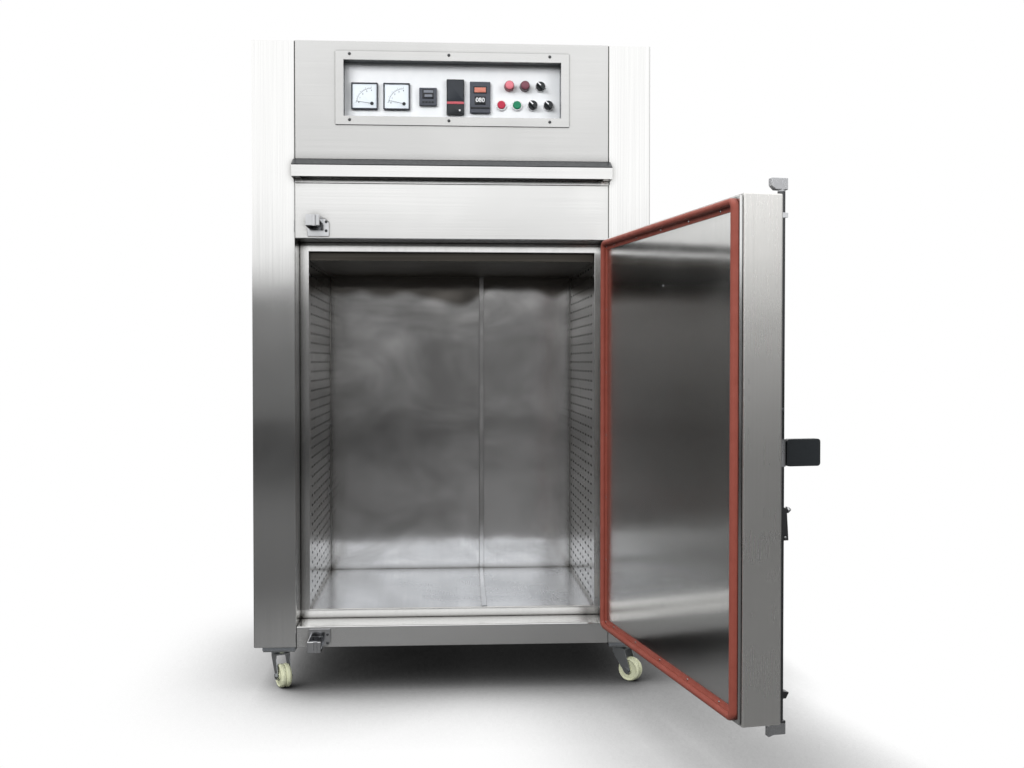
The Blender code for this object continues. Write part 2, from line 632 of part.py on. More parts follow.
def build_keeper(name, level, up, claw_end):
    """Lock keeper: base plate with a screw tab and a cup that is open towards the door.

    The claw turns in through the cup's mouth, behind its front wall and roller.
    """
    left = KEEPER_X - KEEPER_WIDTH / 2
    right = KEEPER_X + KEEPER_WIDTH / 2
    tab = right + KEEPER_TAB
    near = level + up * KEEPER_SETBACK
    far = level + up * (KEEPER_SETBACK + KEEPER_HEIGHT)
    tab_end = far - up * KEEPER_TAB_SHORT
    outline = [(left, near), (tab, near), (tab, tab_end - up * KEEPER_CHAMFER),
               (tab - KEEPER_CHAMFER, tab_end), (right, tab_end), (right, far), (left, far)]
    plate = extrusion(name, outline, KEEPER_WALL - FIT, plane_xz(-(KEEPER_WALL + FIT) / 2), CHROME)
    bevel(plate, 0.0008, 1)
    side = 0.001
    rim = far - up * KEEPER_FRONT
    end = far - up * side
    front = -KEEPER_DEPTH
    cup = span("cup", (left + side, right - side), (front, -KEEPER_WALL / 2), (rim, end), 0.0025)
    room = (front + KEEPER_WALL, -KEEPER_WALL - side)
    beyond = rim - up * KEEPER_WALL
    cut(cup, span("cup_hollow", (left + side + KEEPER_WALL, right - side - KEEPER_WALL), room,
                  (beyond, end - up * KEEPER_WALL)))
    cut(cup, span("cup_mouth", (right - side - 2 * KEEPER_WALL, right + side), room,
                  (beyond, claw_end + up * CLAW_CLEARANCE)))
    fuse(plate, cup)
    start = rim + up * side
    stop = end - up * KEEPER_WALL / 2
    fuse(plate, cylinder("roller", KEEPER_ROLLER_RADIUS, abs(stop - start),
                         (KEEPER_X + KEEPER_ROLLER_SHIFT, front + KEEPER_WALL, (start + stop) / 2),
                         (0, 0, 1), None, 20))


def build_hinge_bodies():
    """Lift-off hinges: the pin and lower knuckle stand on the right column."""
    for name, z in hinge_levels():
        half = HINGE_HEIGHT / 2
        leaf = box(name + "_hinge_post", (HINGE_AXIS_X, -FIT - HINGE_LEAF, z),
                   (HINGE_AXIS_X + HINGE_BODY_REACH, -FIT, z + HINGE_HEIGHT), CHROME)
        notch = box("notch", (HINGE_AXIS_X - HINGE_RADIUS * 2, -1, z + half - FIT),
                    (HINGE_AXIS_X + HINGE_RADIUS + DOOR_CLEARANCE, 1, z + HINGE_HEIGHT * 2), None)
        cut(leaf, notch)
        fuse(leaf, cylinder("knuckle", HINGE_RADIUS, half, (HINGE_AXIS_X, HINGE_AXIS_Y, z + half / 2),
                            (0, 0, 1), None, 24))
        fuse(leaf, cylinder("pin", HINGE_PIN_RADIUS, HINGE_HEIGHT - 0.004,
                            (HINGE_AXIS_X, HINGE_AXIS_Y, z + (HINGE_HEIGHT - 0.004) / 2), (0, 0, 1),
                            None, 24))


def hinge_levels():
    return (("upper", DOOR_TOP - HINGE_END_OFFSET - HINGE_HEIGHT),
            ("lower", DOOR_BOTTOM + HINGE_END_OFFSET))


def build_gasket():
    """Seal round the door's inner face, drawn at its height when the door presses it."""
    height = GASKET_HEIGHT - FIT
    middle = PAN_FACE_Y + FIT + height / 2
    centre = (DOOR_BOTTOM + DOOR_TOP) / 2

    def ring_side(name, inset, thickness, mat):
        outline = round_outline(DOOR_WIDTH / 2 - inset, DOOR_HEIGHT / 2 - inset,
                                GASKET_CORNER - inset + GASKET_INSET)
        outline = [(u, v + centre) for u, v in outline]
        return extrusion(name, outline, thickness, plane_xz(middle), mat)

    gasket = ring_side("door_gasket", GASKET_INSET, height, SILICONE)
    cut(gasket, ring_side("gasket_hole", GASKET_INSET + GASKET_WIDTH, 2 * height, None))
    return bevel(gasket, GASKET_ROUND, 2)


def build_door():
    """Door slab with its inner pan, gasket and hinge straps, drawn shut. Returns its pieces."""
    slab = box("door_slab", (DOOR_LEFT_X, DOOR_OUTER_Y, DOOR_BOTTOM),
               (DOOR_RIGHT_X, DOOR_INNER_Y, DOOR_TOP), STEEL, DOOR_EDGE_RADIUS)
    pan = box("door_pan", (DOOR_LEFT_X + PAN_INSET, DOOR_INNER_Y + FIT, DOOR_BOTTOM + PAN_INSET),
              (DOOR_RIGHT_X - PAN_INSET, PAN_FACE_Y, DOOR_TOP - PAN_INSET), STEEL, 0.001, 1)
    pieces = [slab, pan, build_gasket()]
    for name, z in hinge_levels():
        half = HINGE_HEIGHT / 2
        back = DOOR_OUTER_Y - FIT
        strap = box(name + "_hinge_strap", (HINGE_AXIS_X - HINGE_STRAP_REACH, back - HINGE_LEAF, z),
                    (HINGE_AXIS_X, back, z + HINGE_HEIGHT), CHROME)
        cut(strap, box("notch", (HINGE_AXIS_X - HINGE_RADIUS - DOOR_CLEARANCE, -1, z - half),
                       (HINGE_AXIS_X + HINGE_RADIUS * 2, 1, z + half + FIT), None))
        fuse(strap, cylinder("knuckle", HINGE_RADIUS, half - FIT,
                             (HINGE_AXIS_X, HINGE_AXIS_Y, z + half + FIT + (half - FIT) / 2),
                             (0, 0, 1), None, 24))
        cut(strap, cylinder("bore", HINGE_PIN_RADIUS + PIN_CLEARANCE, HINGE_HEIGHT - 0.004,
                            (HINGE_AXIS_X, HINGE_AXIS_Y, z + HINGE_HEIGHT / 2 - 0.001), (0, 0, 1),
                            None, 24))
        pieces.append(strap)
    return pieces


def claw(level, up, height, reach, nose):
    """Claw block on the rod's end: it points at the cabinet while the lock is open."""
    tip = ROD_Y + reach
    far = level + up * height
    outline = [(ROD_Y - CLAW_BACK, level), (tip - CLAW_CHAMFER, level),
               (tip, level + up * CLAW_CHAMFER), (tip, far + up * nose)]
    if nose > 0:
        outline.append((tip - CLAW_NOSE, far))
    outline.append((ROD_Y - CLAW_BACK, far))
    block = extrusion("claw", outline, 2 * CLAW_HALF_WIDTH, plane_yz(ROD_X), None)
    return bevel(block, 0.0012, 1)


def on_rod(name, radius, low, high, sides, mat=None):
    """Round piece between two levels on the lock rod's axis."""
    return cylinder(name, radius, high - low, (ROD_X, ROD_Y, (low + high) / 2), (0, 0, 1), mat, sides)


def build_lock():
    """Rod with its claws and hub, and the grip."""
    bottom = BOTTOM_CLAW_Z - BOTTOM_CLAW_HEIGHT / 2
    top = TOP_CLAW_Z + TOP_CLAW_HEIGHT / 2
    rod = on_rod("lock_rod", ROD_RADIUS, bottom, top, 20, CHROME)
    fuse(rod, claw(TOP_CLAW_Z, 1, TOP_CLAW_HEIGHT, TOP_CLAW_REACH, 0.0))
    fuse(rod, claw(BOTTOM_CLAW_Z, -1, BOTTOM_CLAW_HEIGHT, BOTTOM_CLAW_REACH, CLAW_NOSE_DROP))
    fuse(rod, on_rod("hub", HUB_RADIUS, HANDLE_Z - GRIP_HEIGHT / 2, HANDLE_Z + GRIP_HEIGHT / 2, 24))
    set_origin(rod, (ROD_X, ROD_Y, HANDLE_Z))
    middle = -(GRIP_FOOT + GRIP_LENGTH / 2)
    outline = [(ROD_Y + middle + u, HANDLE_Z + v)
               for u, v in round_outline(GRIP_LENGTH / 2, GRIP_HEIGHT / 2, 0.006)]
    grip = extrusion("lock_grip", outline, GRIP_THICKNESS, plane_yz(ROD_X), BLACK)
    bevel(grip, 0.002, 2)
    return [rod, grip]


def rod_guide(name, outline, low, high):
    """Guide block of a given side outline, screwed to the door, with the rod's bore through it."""
    guide = extrusion(name, outline, GUIDE_WIDTH, plane_yz(ROD_X), CHROME)
    return cut(guide, on_rod("guide_bore", ROD_RADIUS + 2 * PIN_CLEARANCE, low - 0.01, high + 0.01, 24))


def build_lock_mounts():
    """Guides and catch plate screwed to the door's outer face."""
    seat = DOOR_OUTER_Y - FIT
    face = ROD_Y - ROD_RADIUS - GUIDE_WALL
    top = DOOR_TOP - UPPER_GUIDE_DROP + UPPER_GUIDE_HEIGHT
    low = top - UPPER_GUIDE_HEIGHT
    slant = 0.003
    upper = rod_guide("upper_rod_guide", [(seat, low), (face, low + slant), (face, top - slant),
                                          (seat, top)], low, top)
    low = DOOR_BOTTOM + LOWER_GUIDE_RISE
    top = low + LOWER_GUIDE_HEIGHT
    lip = ROD_Y - ROD_RADIUS - LOWER_GUIDE_LIP
    lower = rod_guide("lower_rod_guide", [(seat, low), (face, low), (lip, (low + top) / 2 - 0.001),
                                          (lip, (low + top) / 2 + 0.001), (seat, top)], low, top)
    low = CATCH_BOTTOM
    top = CATCH_BOTTOM + CATCH_HEIGHT
    catch = rod_guide("lock_catch_plate", [(seat, low), (face - CATCH_WALL, low), (face, top),
                                           (seat, top)], low, top)
    return [upper, lower, catch]


def build_base_rails():
    """Channel rails under the base that carry the casters."""
    for side, name in ((-1, "left_base_rail"), (1, "right_base_rail")):
        middle = side * CASTER_X
        box(name, (middle - RAIL_WIDTH / 2, CASTER_INSET_Y - CASTER_PLATE_Y / 2, CASTER_HEIGHT),
            (middle + RAIL_WIDTH / 2, BODY_DEPTH - CASTER_INSET_Y + CASTER_PLATE_Y / 2,
             BODY_BOTTOM - FIT), STEEL)


def wheel_profile():
    """Half section of the wheel: bore, recessed flank and two crowned treads with a groove."""
    half = WHEEL_WIDTH / 2
    flank = half - 0.003
    right = [(AXLE_RADIUS + PIN_CLEARANCE, half), (0.0095, half), (0.0105, flank),
             (WHEEL_RADIUS - 0.008, flank), (WHEEL_RADIUS - 0.004, half - 0.0008),
             (WHEEL_RADIUS - 0.001, half - 0.004), (WHEEL_RADIUS, half - 0.008),
             (WHEEL_RADIUS - 0.0006, 0.003), (WHEEL_RADIUS - 0.003, 0.001)]
    left = [(r, -t) for r, t in reversed(right)]
    return right + left


def build_wheel(name):
    """Nylon wheel turned about the X axis through its origin."""
    mesh = bpy.data.meshes.new(name)
    shape = bmesh.new()
    points = [shape.verts.new((t, 0.0, r)) for r, t in wheel_profile()]
    for first, second in zip(points, points[1:] + points[:1]):
        shape.edges.new((first, second))
    shape.to_mesh(mesh)
    shape.free()
    wheel = bpy.data.objects.new(name, mesh)
    bpy.context.scene.collection.objects.link(wheel)
    adopt(wheel, name, NYLON)
    turned = wheel.modifiers.new("turned", "SCREW")
    turned.axis = "X"
    turned.angle = math.tau
    turned.steps = 28
    turned.render_steps = 28
    turned.use_merge_vertices = True
    turned.merge_threshold = 0.00001
    turned.use_normal_calculate = True
    graph = bpy.context.evaluated_depsgraph_get()
    solid = bpy.data.meshes.new_from_object(wheel.evaluated_get(graph))
    wheel.modifiers.clear()
    wheel.data = solid
    bpy.data.meshes.remove(mesh)
    shape = bmesh.new()
    shape.from_mesh(solid)
    bmesh.ops.recalc_face_normals(shape, faces=shape.faces)
    shape.to_mesh(solid)
    shape.free()
    solid.materials.clear()
    solid.materials.append(NYLON)
    solid.shade_smooth()
    solid.set_sharp_from_angle(angle=math.radians(35))
    return wheel


def fork_leg(name, x):
    """Tapered fork leg in the YZ plane, from the crown down to the axle's eye."""
    top = CASTER_HEIGHT - CASTER_PLATE_THICKNESS - RACE_HEIGHT - 2 * FIT
    eye = (-CASTER_TRAIL, WHEEL_RADIUS)
    outline = [(FORK_TOP_HALF, top), (FORK_TOP_HALF, top - 0.012)]
    steps = 6
    for step in range(steps + 1):
        angle = math.radians(-20 - 170 * step / steps)
        outline.append((eye[0] + FORK_EYE_RADIUS * math.cos(angle),
                        eye[1] + FORK_EYE_RADIUS * math.sin(angle)))
    outline += [(-FORK_TOP_HALF, top - 0.012), (-FORK_TOP_HALF, top)]
    return extrusion(name, outline, FORK_SHEET, plane_yz(x), ZINC)


def build_caster(corner, x, y, angle):
    """Swivel caster: plate with its race, fork with its axle, and a nylon wheel."""
    plate_low = CASTER_HEIGHT - CASTER_PLATE_THICKNESS - FIT
    plate = box(corner + "_caster_plate", (x - CASTER_PLATE_X / 2, y - CASTER_PLATE_Y / 2, plate_low),
                (x + CASTER_PLATE_X / 2, y + CASTER_PLATE_Y / 2, CASTER_HEIGHT - FIT), ZINC)
    fuse(plate, cylinder("race", RACE_RADIUS, RACE_HEIGHT, (x, y, plate_low - RACE_HEIGHT / 2 + 0.001),
                         (0, 0, 1), None, 24, RACE_RADIUS + 0.004))
    bpy.context.view_layer.update()
    leg_x = WHEEL_WIDTH / 2 + FORK_SIDE_GAP + FORK_SHEET / 2
    fork = fork_leg(corner + "_fork", leg_x)
    fuse(fork, fork_leg("leg", -leg_x))
    top = CASTER_HEIGHT - CASTER_PLATE_THICKNESS - RACE_HEIGHT - 2 * FIT + 0.001 - FIT
    crown_half = leg_x + FORK_SHEET / 2
    fuse(fork, box("crown", (-crown_half, -FORK_TOP_HALF, top - 0.004),
                   (crown_half, FORK_TOP_HALF, top), None))
    axle_half = crown_half + AXLE_END
    fuse(fork, cylinder("axle", AXLE_RADIUS, 2 * axle_half, (0, -CASTER_TRAIL, WHEEL_RADIUS), (1, 0, 0),
                        None, 20))
    for side in (-1, 1):
        nut_x = side * (crown_half + AXLE_END / 2 - 0.0005)
        fuse(fork, cylinder("nut", 0.0075, AXLE_END - 0.001, (nut_x, -CASTER_TRAIL, WHEEL_RADIUS), (1, 0, 0),
                            None, 6))
    swivel = empty_at(corner + "_swivel_axis", (x, y, 0))
    set_origin(fork, (0, 0, 0))
    fork.location = (x, y, 0)
    wheel = build_wheel(corner + "_wheel")
    wheel.location = (x, y - CASTER_TRAIL, WHEEL_RADIUS)
    hang_on(swivel, fork, wheel)
    swivel.rotation_euler.z = angle


def build_casters():
    rows = (("front", CASTER_INSET_Y), ("rear", BODY_DEPTH - CASTER_INSET_Y))
    for row, y in rows:
        for side, x in (("left", -CASTER_X), ("right", CASTER_X)):
            corner = row + "_" + side
            build_caster(corner, x, y, CASTER_ANGLES[corner])


def set_down():
    """Shift everything so that the origin lies under the middle of the open oven."""
    for obj in bpy.data.objects:
        if obj.parent is None:
            obj.location.x -= FOOTPRINT_X
            obj.location.y -= FOOTPRINT_Y


def main():
    build_casings()
    build_shell()
    build_ledge()
    build_door_frame()
    build_chamber()
    build_control_front()
    build_instruments()
    build_keeper("upper_keeper", RECESS_TOP, 1, TOP_CLAW_Z + TOP_CLAW_HEIGHT)
    build_keeper("lower_keeper", SILL_TOP, -1, BOTTOM_CLAW_Z - BOTTOM_CLAW_HEIGHT - CLAW_NOSE_DROP)
    build_hinge_bodies()
    build_base_rails()
    build_casters()
    door_pieces = build_door() + build_lock_mounts()
    lock_pieces = build_lock()
    door_axis = empty_at("door_hinge_axis", (HINGE_AXIS_X, HINGE_AXIS_Y, 0))
    lock_axis = empty_at("lock_rod_axis", (ROD_X, ROD_Y, 0))
    hang_on(lock_axis, *lock_pieces)
    hang_on(door_axis, *door_pieces, lock_axis)
    door_axis.rotation_euler.z = DOOR_OPEN_ANGLE
    set_down()
    bpy.context.view_layer.update()


main()
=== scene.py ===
# %% [markdown]
# PCB baking oven: a free-standing hot-air cabinet in brushed stainless steel.
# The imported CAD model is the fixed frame. This lesson dresses it: finishes first, then the
# small parts that the solids leave out, and last the studio light and the camera.

# %% Load the frame
import json
import math

import bmesh
import bpy
from mathutils import Matrix, Vector


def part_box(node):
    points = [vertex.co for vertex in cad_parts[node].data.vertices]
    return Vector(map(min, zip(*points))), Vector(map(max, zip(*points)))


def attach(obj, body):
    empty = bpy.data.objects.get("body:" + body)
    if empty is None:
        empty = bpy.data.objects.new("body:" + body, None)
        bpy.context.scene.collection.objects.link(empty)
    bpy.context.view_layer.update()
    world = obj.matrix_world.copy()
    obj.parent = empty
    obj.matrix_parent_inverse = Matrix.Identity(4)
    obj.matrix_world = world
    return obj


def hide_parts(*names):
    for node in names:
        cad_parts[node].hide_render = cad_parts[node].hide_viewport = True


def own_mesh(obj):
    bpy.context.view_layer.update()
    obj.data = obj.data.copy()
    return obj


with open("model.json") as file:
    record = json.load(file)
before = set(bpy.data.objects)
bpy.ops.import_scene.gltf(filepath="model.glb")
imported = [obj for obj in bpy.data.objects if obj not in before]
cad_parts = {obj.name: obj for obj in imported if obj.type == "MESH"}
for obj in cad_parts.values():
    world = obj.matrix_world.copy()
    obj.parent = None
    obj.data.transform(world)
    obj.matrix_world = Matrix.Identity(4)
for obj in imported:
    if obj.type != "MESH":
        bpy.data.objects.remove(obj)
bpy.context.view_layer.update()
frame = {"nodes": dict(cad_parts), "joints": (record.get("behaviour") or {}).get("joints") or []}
NODES = frame["nodes"]

# %% [markdown]
# Colours are written as sRGB hex values, the way a paint chip or a photo editor gives them.
# Blender's shaders work in linear light, so one function turns one into the other.

# %% Colour and node helpers
MM = 0.001


def linear(hex_colour, alpha=1.0):
    """Linear RGBA of an sRGB hex colour."""
    channels = [int(hex_colour[i:i + 2], 16) / 255 for i in (1, 3, 5)]
    return tuple(c / 12.92 if c <= 0.04045 else ((c + 0.055) / 1.055) ** 2.4
                 for c in channels) + (alpha,)


def add(tree, kind, props=None, values=None, links=None):
    """Add a node, set its properties and unlinked sockets, and wire the sources given."""
    new = tree.nodes.new(kind)
    for key, value in (props or {}).items():
        setattr(new, key, value)
    for socket, value in (values or {}).items():
        new.inputs[socket].default_value = value
    for socket, source in (links or {}).items():
        tree.links.new(source, new.inputs[socket])
    return new


def blank_material(name, colour, metallic, roughness):
    """A material with a Principled shader whose uniform values sit on its own sockets."""
    mat = bpy.data.materials.new(name)
    mat.use_nodes = True
    tree = mat.node_tree
    shader = tree.nodes["Principled BSDF"]
    shader.inputs["Base Color"].default_value = linear(colour)
    shader.inputs["Metallic"].default_value = metallic
    shader.inputs["Roughness"].default_value = roughness
    return mat, tree, shader


print("mid grey in linear light:", round(linear("#808080")[0], 3))

# %% [markdown]
# Stainless sheet with a No. 4 brushed finish: a belt leaves fine parallel scratches. Across them a
# reflection is smeared wide, along them it stays sharp, so the shader is told the grain's
# direction. Real scratches are about 0.2 mm wide, too fine for this picture, so they are drawn
# 1.5 mm wide. Hands and cloths leave large soft patches too. Thin sheet is never quite flat: it
# swells by a millimetre or so, which bends a mirrored edge. Its corners are darkened by painted shade.

# %% Brushed stainless steel
SCRATCH_WIDTH = 1.5 * MM
SCRATCH_LENGTH = 500 * MM
PATCH_SIZE = 0.35
SWELL_SIZE = 0.31
CORNER_REACH = 26 * MM
# Colour of the painted shade in the sheet's corners.
CORNER_PAINTED_SHADE = "#57544f"


def sheet_steel(name, colour, tint, roughness, spread, along, bump=0.03, patch=0.03, brushing=0.85,
                swell=0.9 * MM, width=SCRATCH_WIDTH):
    """Brushed or rolled stainless sheet, with its grain along one row axis and painted shade in its
    corners.
    """
    mat, tree, shader = blank_material(name, colour, 1.0, roughness)
    shader.inputs["Anisotropic"].default_value = brushing
    shader.inputs["Anisotropic Rotation"].default_value = 0.25
    grain_axis = [0.03, 0.02, 0.01]
    grain_axis["XYZ".index(along)] = 1.0
    lay = add(tree, "ShaderNodeCombineXYZ", values=dict(zip("XYZ", grain_axis)))
    tree.links.new(lay.outputs["Vector"], shader.inputs["Tangent"])
    place = add(tree, "ShaderNodeTexCoord")
    scale = [1 / width] * 3
    scale["XYZ".index(along)] = 1 / SCRATCH_LENGTH
    stretched = add(tree, "ShaderNodeMapping", values={"Scale": scale},
                    links={"Vector": place.outputs["Object"]})
    grain = add(tree, "ShaderNodeTexNoise", values={"Scale": 1.0, "Detail": 2.0, "Roughness": 0.6},
                links={"Vector": stretched.outputs["Vector"]})
    patches = add(tree, "ShaderNodeTexNoise", values={"Scale": 1 / PATCH_SIZE, "Detail": 4.0,
                                                      "Roughness": 0.55, "Distortion": 0.4},
                  links={"Vector": place.outputs["Object"]})
    tone = add(tree, "ShaderNodeMapRange", values={"From Min": 0.3, "From Max": 0.7},
               links={"Value": grain.outputs["Fac"]})
    mixed = add(tree, "ShaderNodeMix", props={"data_type": "RGBA"},
                values={"A": linear(colour), "B": linear(tint)},
                links={"Factor": tone.outputs["Result"]})
    # Ambient occlusion paints shade into the base colour where the sheet meets other parts.
    corner = add(tree, "ShaderNodeAmbientOcclusion", props={"samples": 6},
                 values={"Distance": CORNER_REACH})
    open_sheet = add(tree, "ShaderNodeMapRange", values={"From Min": 0.35, "From Max": 0.9},
                     links={"Value": corner.outputs["AO"]})
    corner_shaded = add(tree, "ShaderNodeMix", props={"data_type": "RGBA"},
                 values={"A": linear(CORNER_PAINTED_SHADE)},
                 links={"Factor": open_sheet.outputs["Result"], "B": mixed.outputs[2]})
    tree.links.new(corner_shaded.outputs[2], shader.inputs["Base Color"])
    gloss = add(tree, "ShaderNodeMapRange",
                values={"From Min": 0.25, "From Max": 0.75, "To Min": roughness - spread,
                        "To Max": roughness + spread}, links={"Value": grain.outputs["Fac"]})
    smear = add(tree, "ShaderNodeMapRange",
                values={"From Min": 0.35, "From Max": 0.7, "To Min": -patch, "To Max": patch},
                links={"Value": patches.outputs["Fac"]})
    total = add(tree, "ShaderNodeMath", props={"operation": "ADD", "use_clamp": True},
                links={0: gloss.outputs["Result"], 1: smear.outputs["Result"]})
    tree.links.new(total.outputs[0], shader.inputs["Roughness"])
    broad = add(tree, "ShaderNodeTexNoise", values={"Scale": 1 / SWELL_SIZE, "Detail": 2.0},
                links={"Vector": place.outputs["Object"]})
    bowed = add(tree, "ShaderNodeBump", values={"Strength": 1.0, "Distance": swell},
                links={"Height": broad.outputs["Fac"]})
    relief = add(tree, "ShaderNodeBump", values={"Strength": bump, "Distance": 0.3 * MM},
                 links={"Height": grain.outputs["Fac"], "Normal": bowed.outputs["Normal"]})
    tree.links.new(relief.outputs["Normal"], shader.inputs["Normal"])
    return mat


# Outer sheet, brushed up and down: bright streaks stand upright and the sky's edge stays soft.
UPRIGHT_STEEL = sheet_steel("stainless_brushed_upright", "#ececeb", "#e4e4e3", 0.17, 0.025, "Z",
                            0.02)
# Wide outer sheet, brushed from side to side: calmer, because the light runs along the grain.
LEVEL_STEEL = sheet_steel("stainless_brushed_level", "#f0f0ef", "#ececeb", 0.16, 0.008, "X",
                          0.002, 0.02)
# The control sheet has a finer, slightly greyer brush than the header under it.
CONTROL_STEEL = sheet_steel("stainless_brushed_control", "#dcdcdb", "#d8d8d7", 0.20, 0.008, "X",
                            0.002, 0.02)
# The door's skin is worn by hands, so its brush is blunter, less directional and drawn coarser.
EDGE_STEEL = sheet_steel("stainless_brushed_door_edge", "#f2f1ee", "#eeedea", 0.28, 0.015, "Z",
                         0.002, 0.03, 0.6, width=5 * MM)
# The floor sheet is cold rolled and scuffed by trays: cool, patchy, with little grain.
DEEP_STEEL = sheet_steel("stainless_cold_rolled_floor", "#c8cdd3", "#bac0c7", 0.22, 0.02, "Y",
                         0.003, 0.09, 0.4)
# The punched liner is rolled, not brushed, and has dulled a little in the hot air.
LINER_STEEL = sheet_steel("stainless_rolled_liner", "#dbdad7", "#d1d0cd", 0.20, 0.04, "Z",
                          0.02, 0.06, 0.5)
# The back sheet is the smoothest one in the chamber: it mirrors the bright doorway.
BACK_STEEL = sheet_steel("stainless_rolled_back", "#eeeded", "#e4e3e3", 0.13, 0.02, "Z",
                         0.005, 0.05, 0.4, 3.0 * MM)
# Steel over the hot air inlet: dark with painted shade over a brownish heat tint; matt, hardly any grain
# left.
DARK_STEEL = sheet_steel("stainless_heat_tint_painted_shade", "#605d57", "#55514b", 0.36, 0.05, "X",
                         0.02, 0.05, 0.3)
print("steel grain:", SCRATCH_WIDTH / MM, "mm wide")

# %% [markdown]
# The smaller finishes share one pattern: a base colour, a little mottling, a roughness that
# varies as handling leaves it, and a fine relief at the real grain of the moulded or plated skin.

# %% Plated, moulded and anodised finishes


def surface(name, colour, tint, metallic, roughness, spread, grain, bump):
    """A part's finish with mottled colour and roughness at the size of its real grain."""
    mat, tree, shader = blank_material(name, colour, metallic, roughness)
    place = add(tree, "ShaderNodeTexCoord")
    fine = add(tree, "ShaderNodeTexNoise", values={"Scale": 1 / grain, "Detail": 3.0},
               links={"Vector": place.outputs["Object"]})
    broad = add(tree, "ShaderNodeTexNoise", values={"Scale": 0.08 / grain, "Detail": 3.0},
                links={"Vector": place.outputs["Object"]})
    mixed = add(tree, "ShaderNodeMix", props={"data_type": "RGBA"},
                values={"A": linear(colour), "B": linear(tint)},
                links={"Factor": broad.outputs["Fac"]})
    tree.links.new(mixed.outputs[2], shader.inputs["Base Color"])
    gloss = add(tree, "ShaderNodeMapRange",
                values={"From Min": 0.3, "From Max": 0.7, "To Min": max(roughness - spread, 0.02),
                        "To Max": roughness + spread}, links={"Value": broad.outputs["Fac"]})
    tree.links.new(gloss.outputs["Result"], shader.inputs["Roughness"])
    relief = add(tree, "ShaderNodeBump", values={"Strength": bump, "Distance": 0.1 * MM},
                 links={"Height": fine.outputs["Fac"]})
    tree.links.new(relief.outputs["Normal"], shader.inputs["Normal"])
    return mat


# Die-cast zinc with bright chrome plating: the sharpest mirror here, a little cool and wavy.
CHROME = surface("zinc_casting_chrome_plated", "#d2d3d5", "#c3c4c7", 1.0, 0.14, 0.05, 4 * MM, 0.06)
# Nickel-plated steel claws: warmer and softer than chrome, with blurred highlights.
CLAW_STEEL = surface("steel_nickel_plated_claws", "#c9cacc", "#babbbe", 1.0, 0.26, 0.06, 4 * MM, 0.08)
# Dull nickel on the guides and the catch plate: reads as dark grey metal.
ROD_STEEL = surface("steel_dull_nickel_plated", "#6a6b6d", "#58595b", 1.0, 0.33, 0.06, 4 * MM, 0.08)
# Bright zinc plating on the pressed casters: pale, slightly cloudy where the bath left it.
ZINC = surface("steel_bright_zinc_plated", "#aeb1b3", "#9c9fa1", 1.0, 0.34, 0.08, 3 * MM, 0.12)
# Moulded black ABS: a fine spark-eroded grain spreads the highlight into a soft sheen.
BLACK_ABS = surface("abs_black_moulded", "#24282b", "#1b1e21", 0.0, 0.36, 0.06, 0.8 * MM, 0.08)
# Dark grey ABS of the instrument cases: as above, a touch bluer and duller.
GREY_ABS = surface("abs_dark_grey_moulded", "#4a4d55", "#41444c", 0.0, 0.42, 0.06, 0.8 * MM, 0.08)
# The meters' cases are glossier and darker, so they frame the white cards crisply.
METER_CASE = surface("abs_meter_case_moulded", "#3a3d46", "#31343c", 0.0, 0.35, 0.05, 0.8 * MM, 0.06)
# Moulded rings round the lamps: dark red for the lit one, dark plum for the unlit one.
DARK_RED_RING = surface("abs_dark_red_moulded", "#8c2f3c", "#7c2733", 0.0, 0.32, 0.04, 1 * MM, 0.05)
DARK_PLUM_RING = surface("abs_dark_plum_moulded", "#4b3138", "#41292f", 0.0, 0.32, 0.04, 1 * MM, 0.05)
# Unlit red polycarbonate: plum, because the light that enters is swallowed.
PLUM_LENS = surface("polycarbonate_unlit_red_lens", "#7a4a55", "#6a3d48", 0.0, 0.24, 0.03, 1.5 * MM, 0.05)
# Moulded caps of the push buttons: saturated, with a tight highlight on the dished face.
RED_CAP = surface("abs_red_cap_moulded", "#b8334a", "#a42a40", 0.0, 0.3, 0.04, 1.0 * MM, 0.05)
GREEN_CAP = surface("abs_green_cap_moulded", "#1f7f5c", "#17704f", 0.0, 0.3, 0.04, 1.0 * MM, 0.05)
# Cast nylon wheels: cream with a green cast, waxy, scuffed by the floor.
NYLON = surface("nylon_cream_cast", "#d9dcc0", "#c5c7a6", 0.0, 0.45, 0.08, 2 * MM, 0.10)
# Extruded silicone rubber coloured with iron oxide: brick red, matt, faintly dusty.
SILICONE = surface("silicone_rubber_brick_red", "#8f4c40", "#7c3d33", 0.0, 0.55, 0.08, 2 * MM, 0.15)
# Satin-anodised aluminium: etched first, so it looks like pale silvery paper, not like a mirror.
ANODISED = surface("aluminium_satin_anodised", "#f0f2f4", "#e9ecef", 0.2, 0.38, 0.05, 1.5 * MM, 0.05)
print("finishes:", len(bpy.data.materials))

# %% [markdown]
# Three materials change over the part. The instrument tray's folded walls carry a painted shade.
# The back sheet has been browned by hot air along its top and carries painted shade there, with a
# wavy edge, and soft clouds from wiping. The lock rod is dull, while the claws pinned to its ends are
# bright.

# %% Finishes and painted shade that change over a part


def recolour(mat, other, share, kind="ShaderNodeTexCoord", output="Object"):
    """Mix another colour over a material's own; share(tree, vector) returns how much of it."""
    tree = mat.node_tree
    shader = tree.nodes["Principled BSDF"]
    own = shader.inputs["Base Color"].links[0].from_socket
    vector = add(tree, kind).outputs[output]
    mixed = add(tree, "ShaderNodeMix", props={"data_type": "RGBA"}, values={"B": linear(other)},
                links={"Factor": share(tree, vector), "A": own})
    tree.links.new(mixed.outputs[2], shader.inputs["Base Color"])


def part_of(tree, vector, axis):
    """One component of a vector."""
    return add(tree, "ShaderNodeSeparateXYZ", links={0: vector}).outputs[axis]


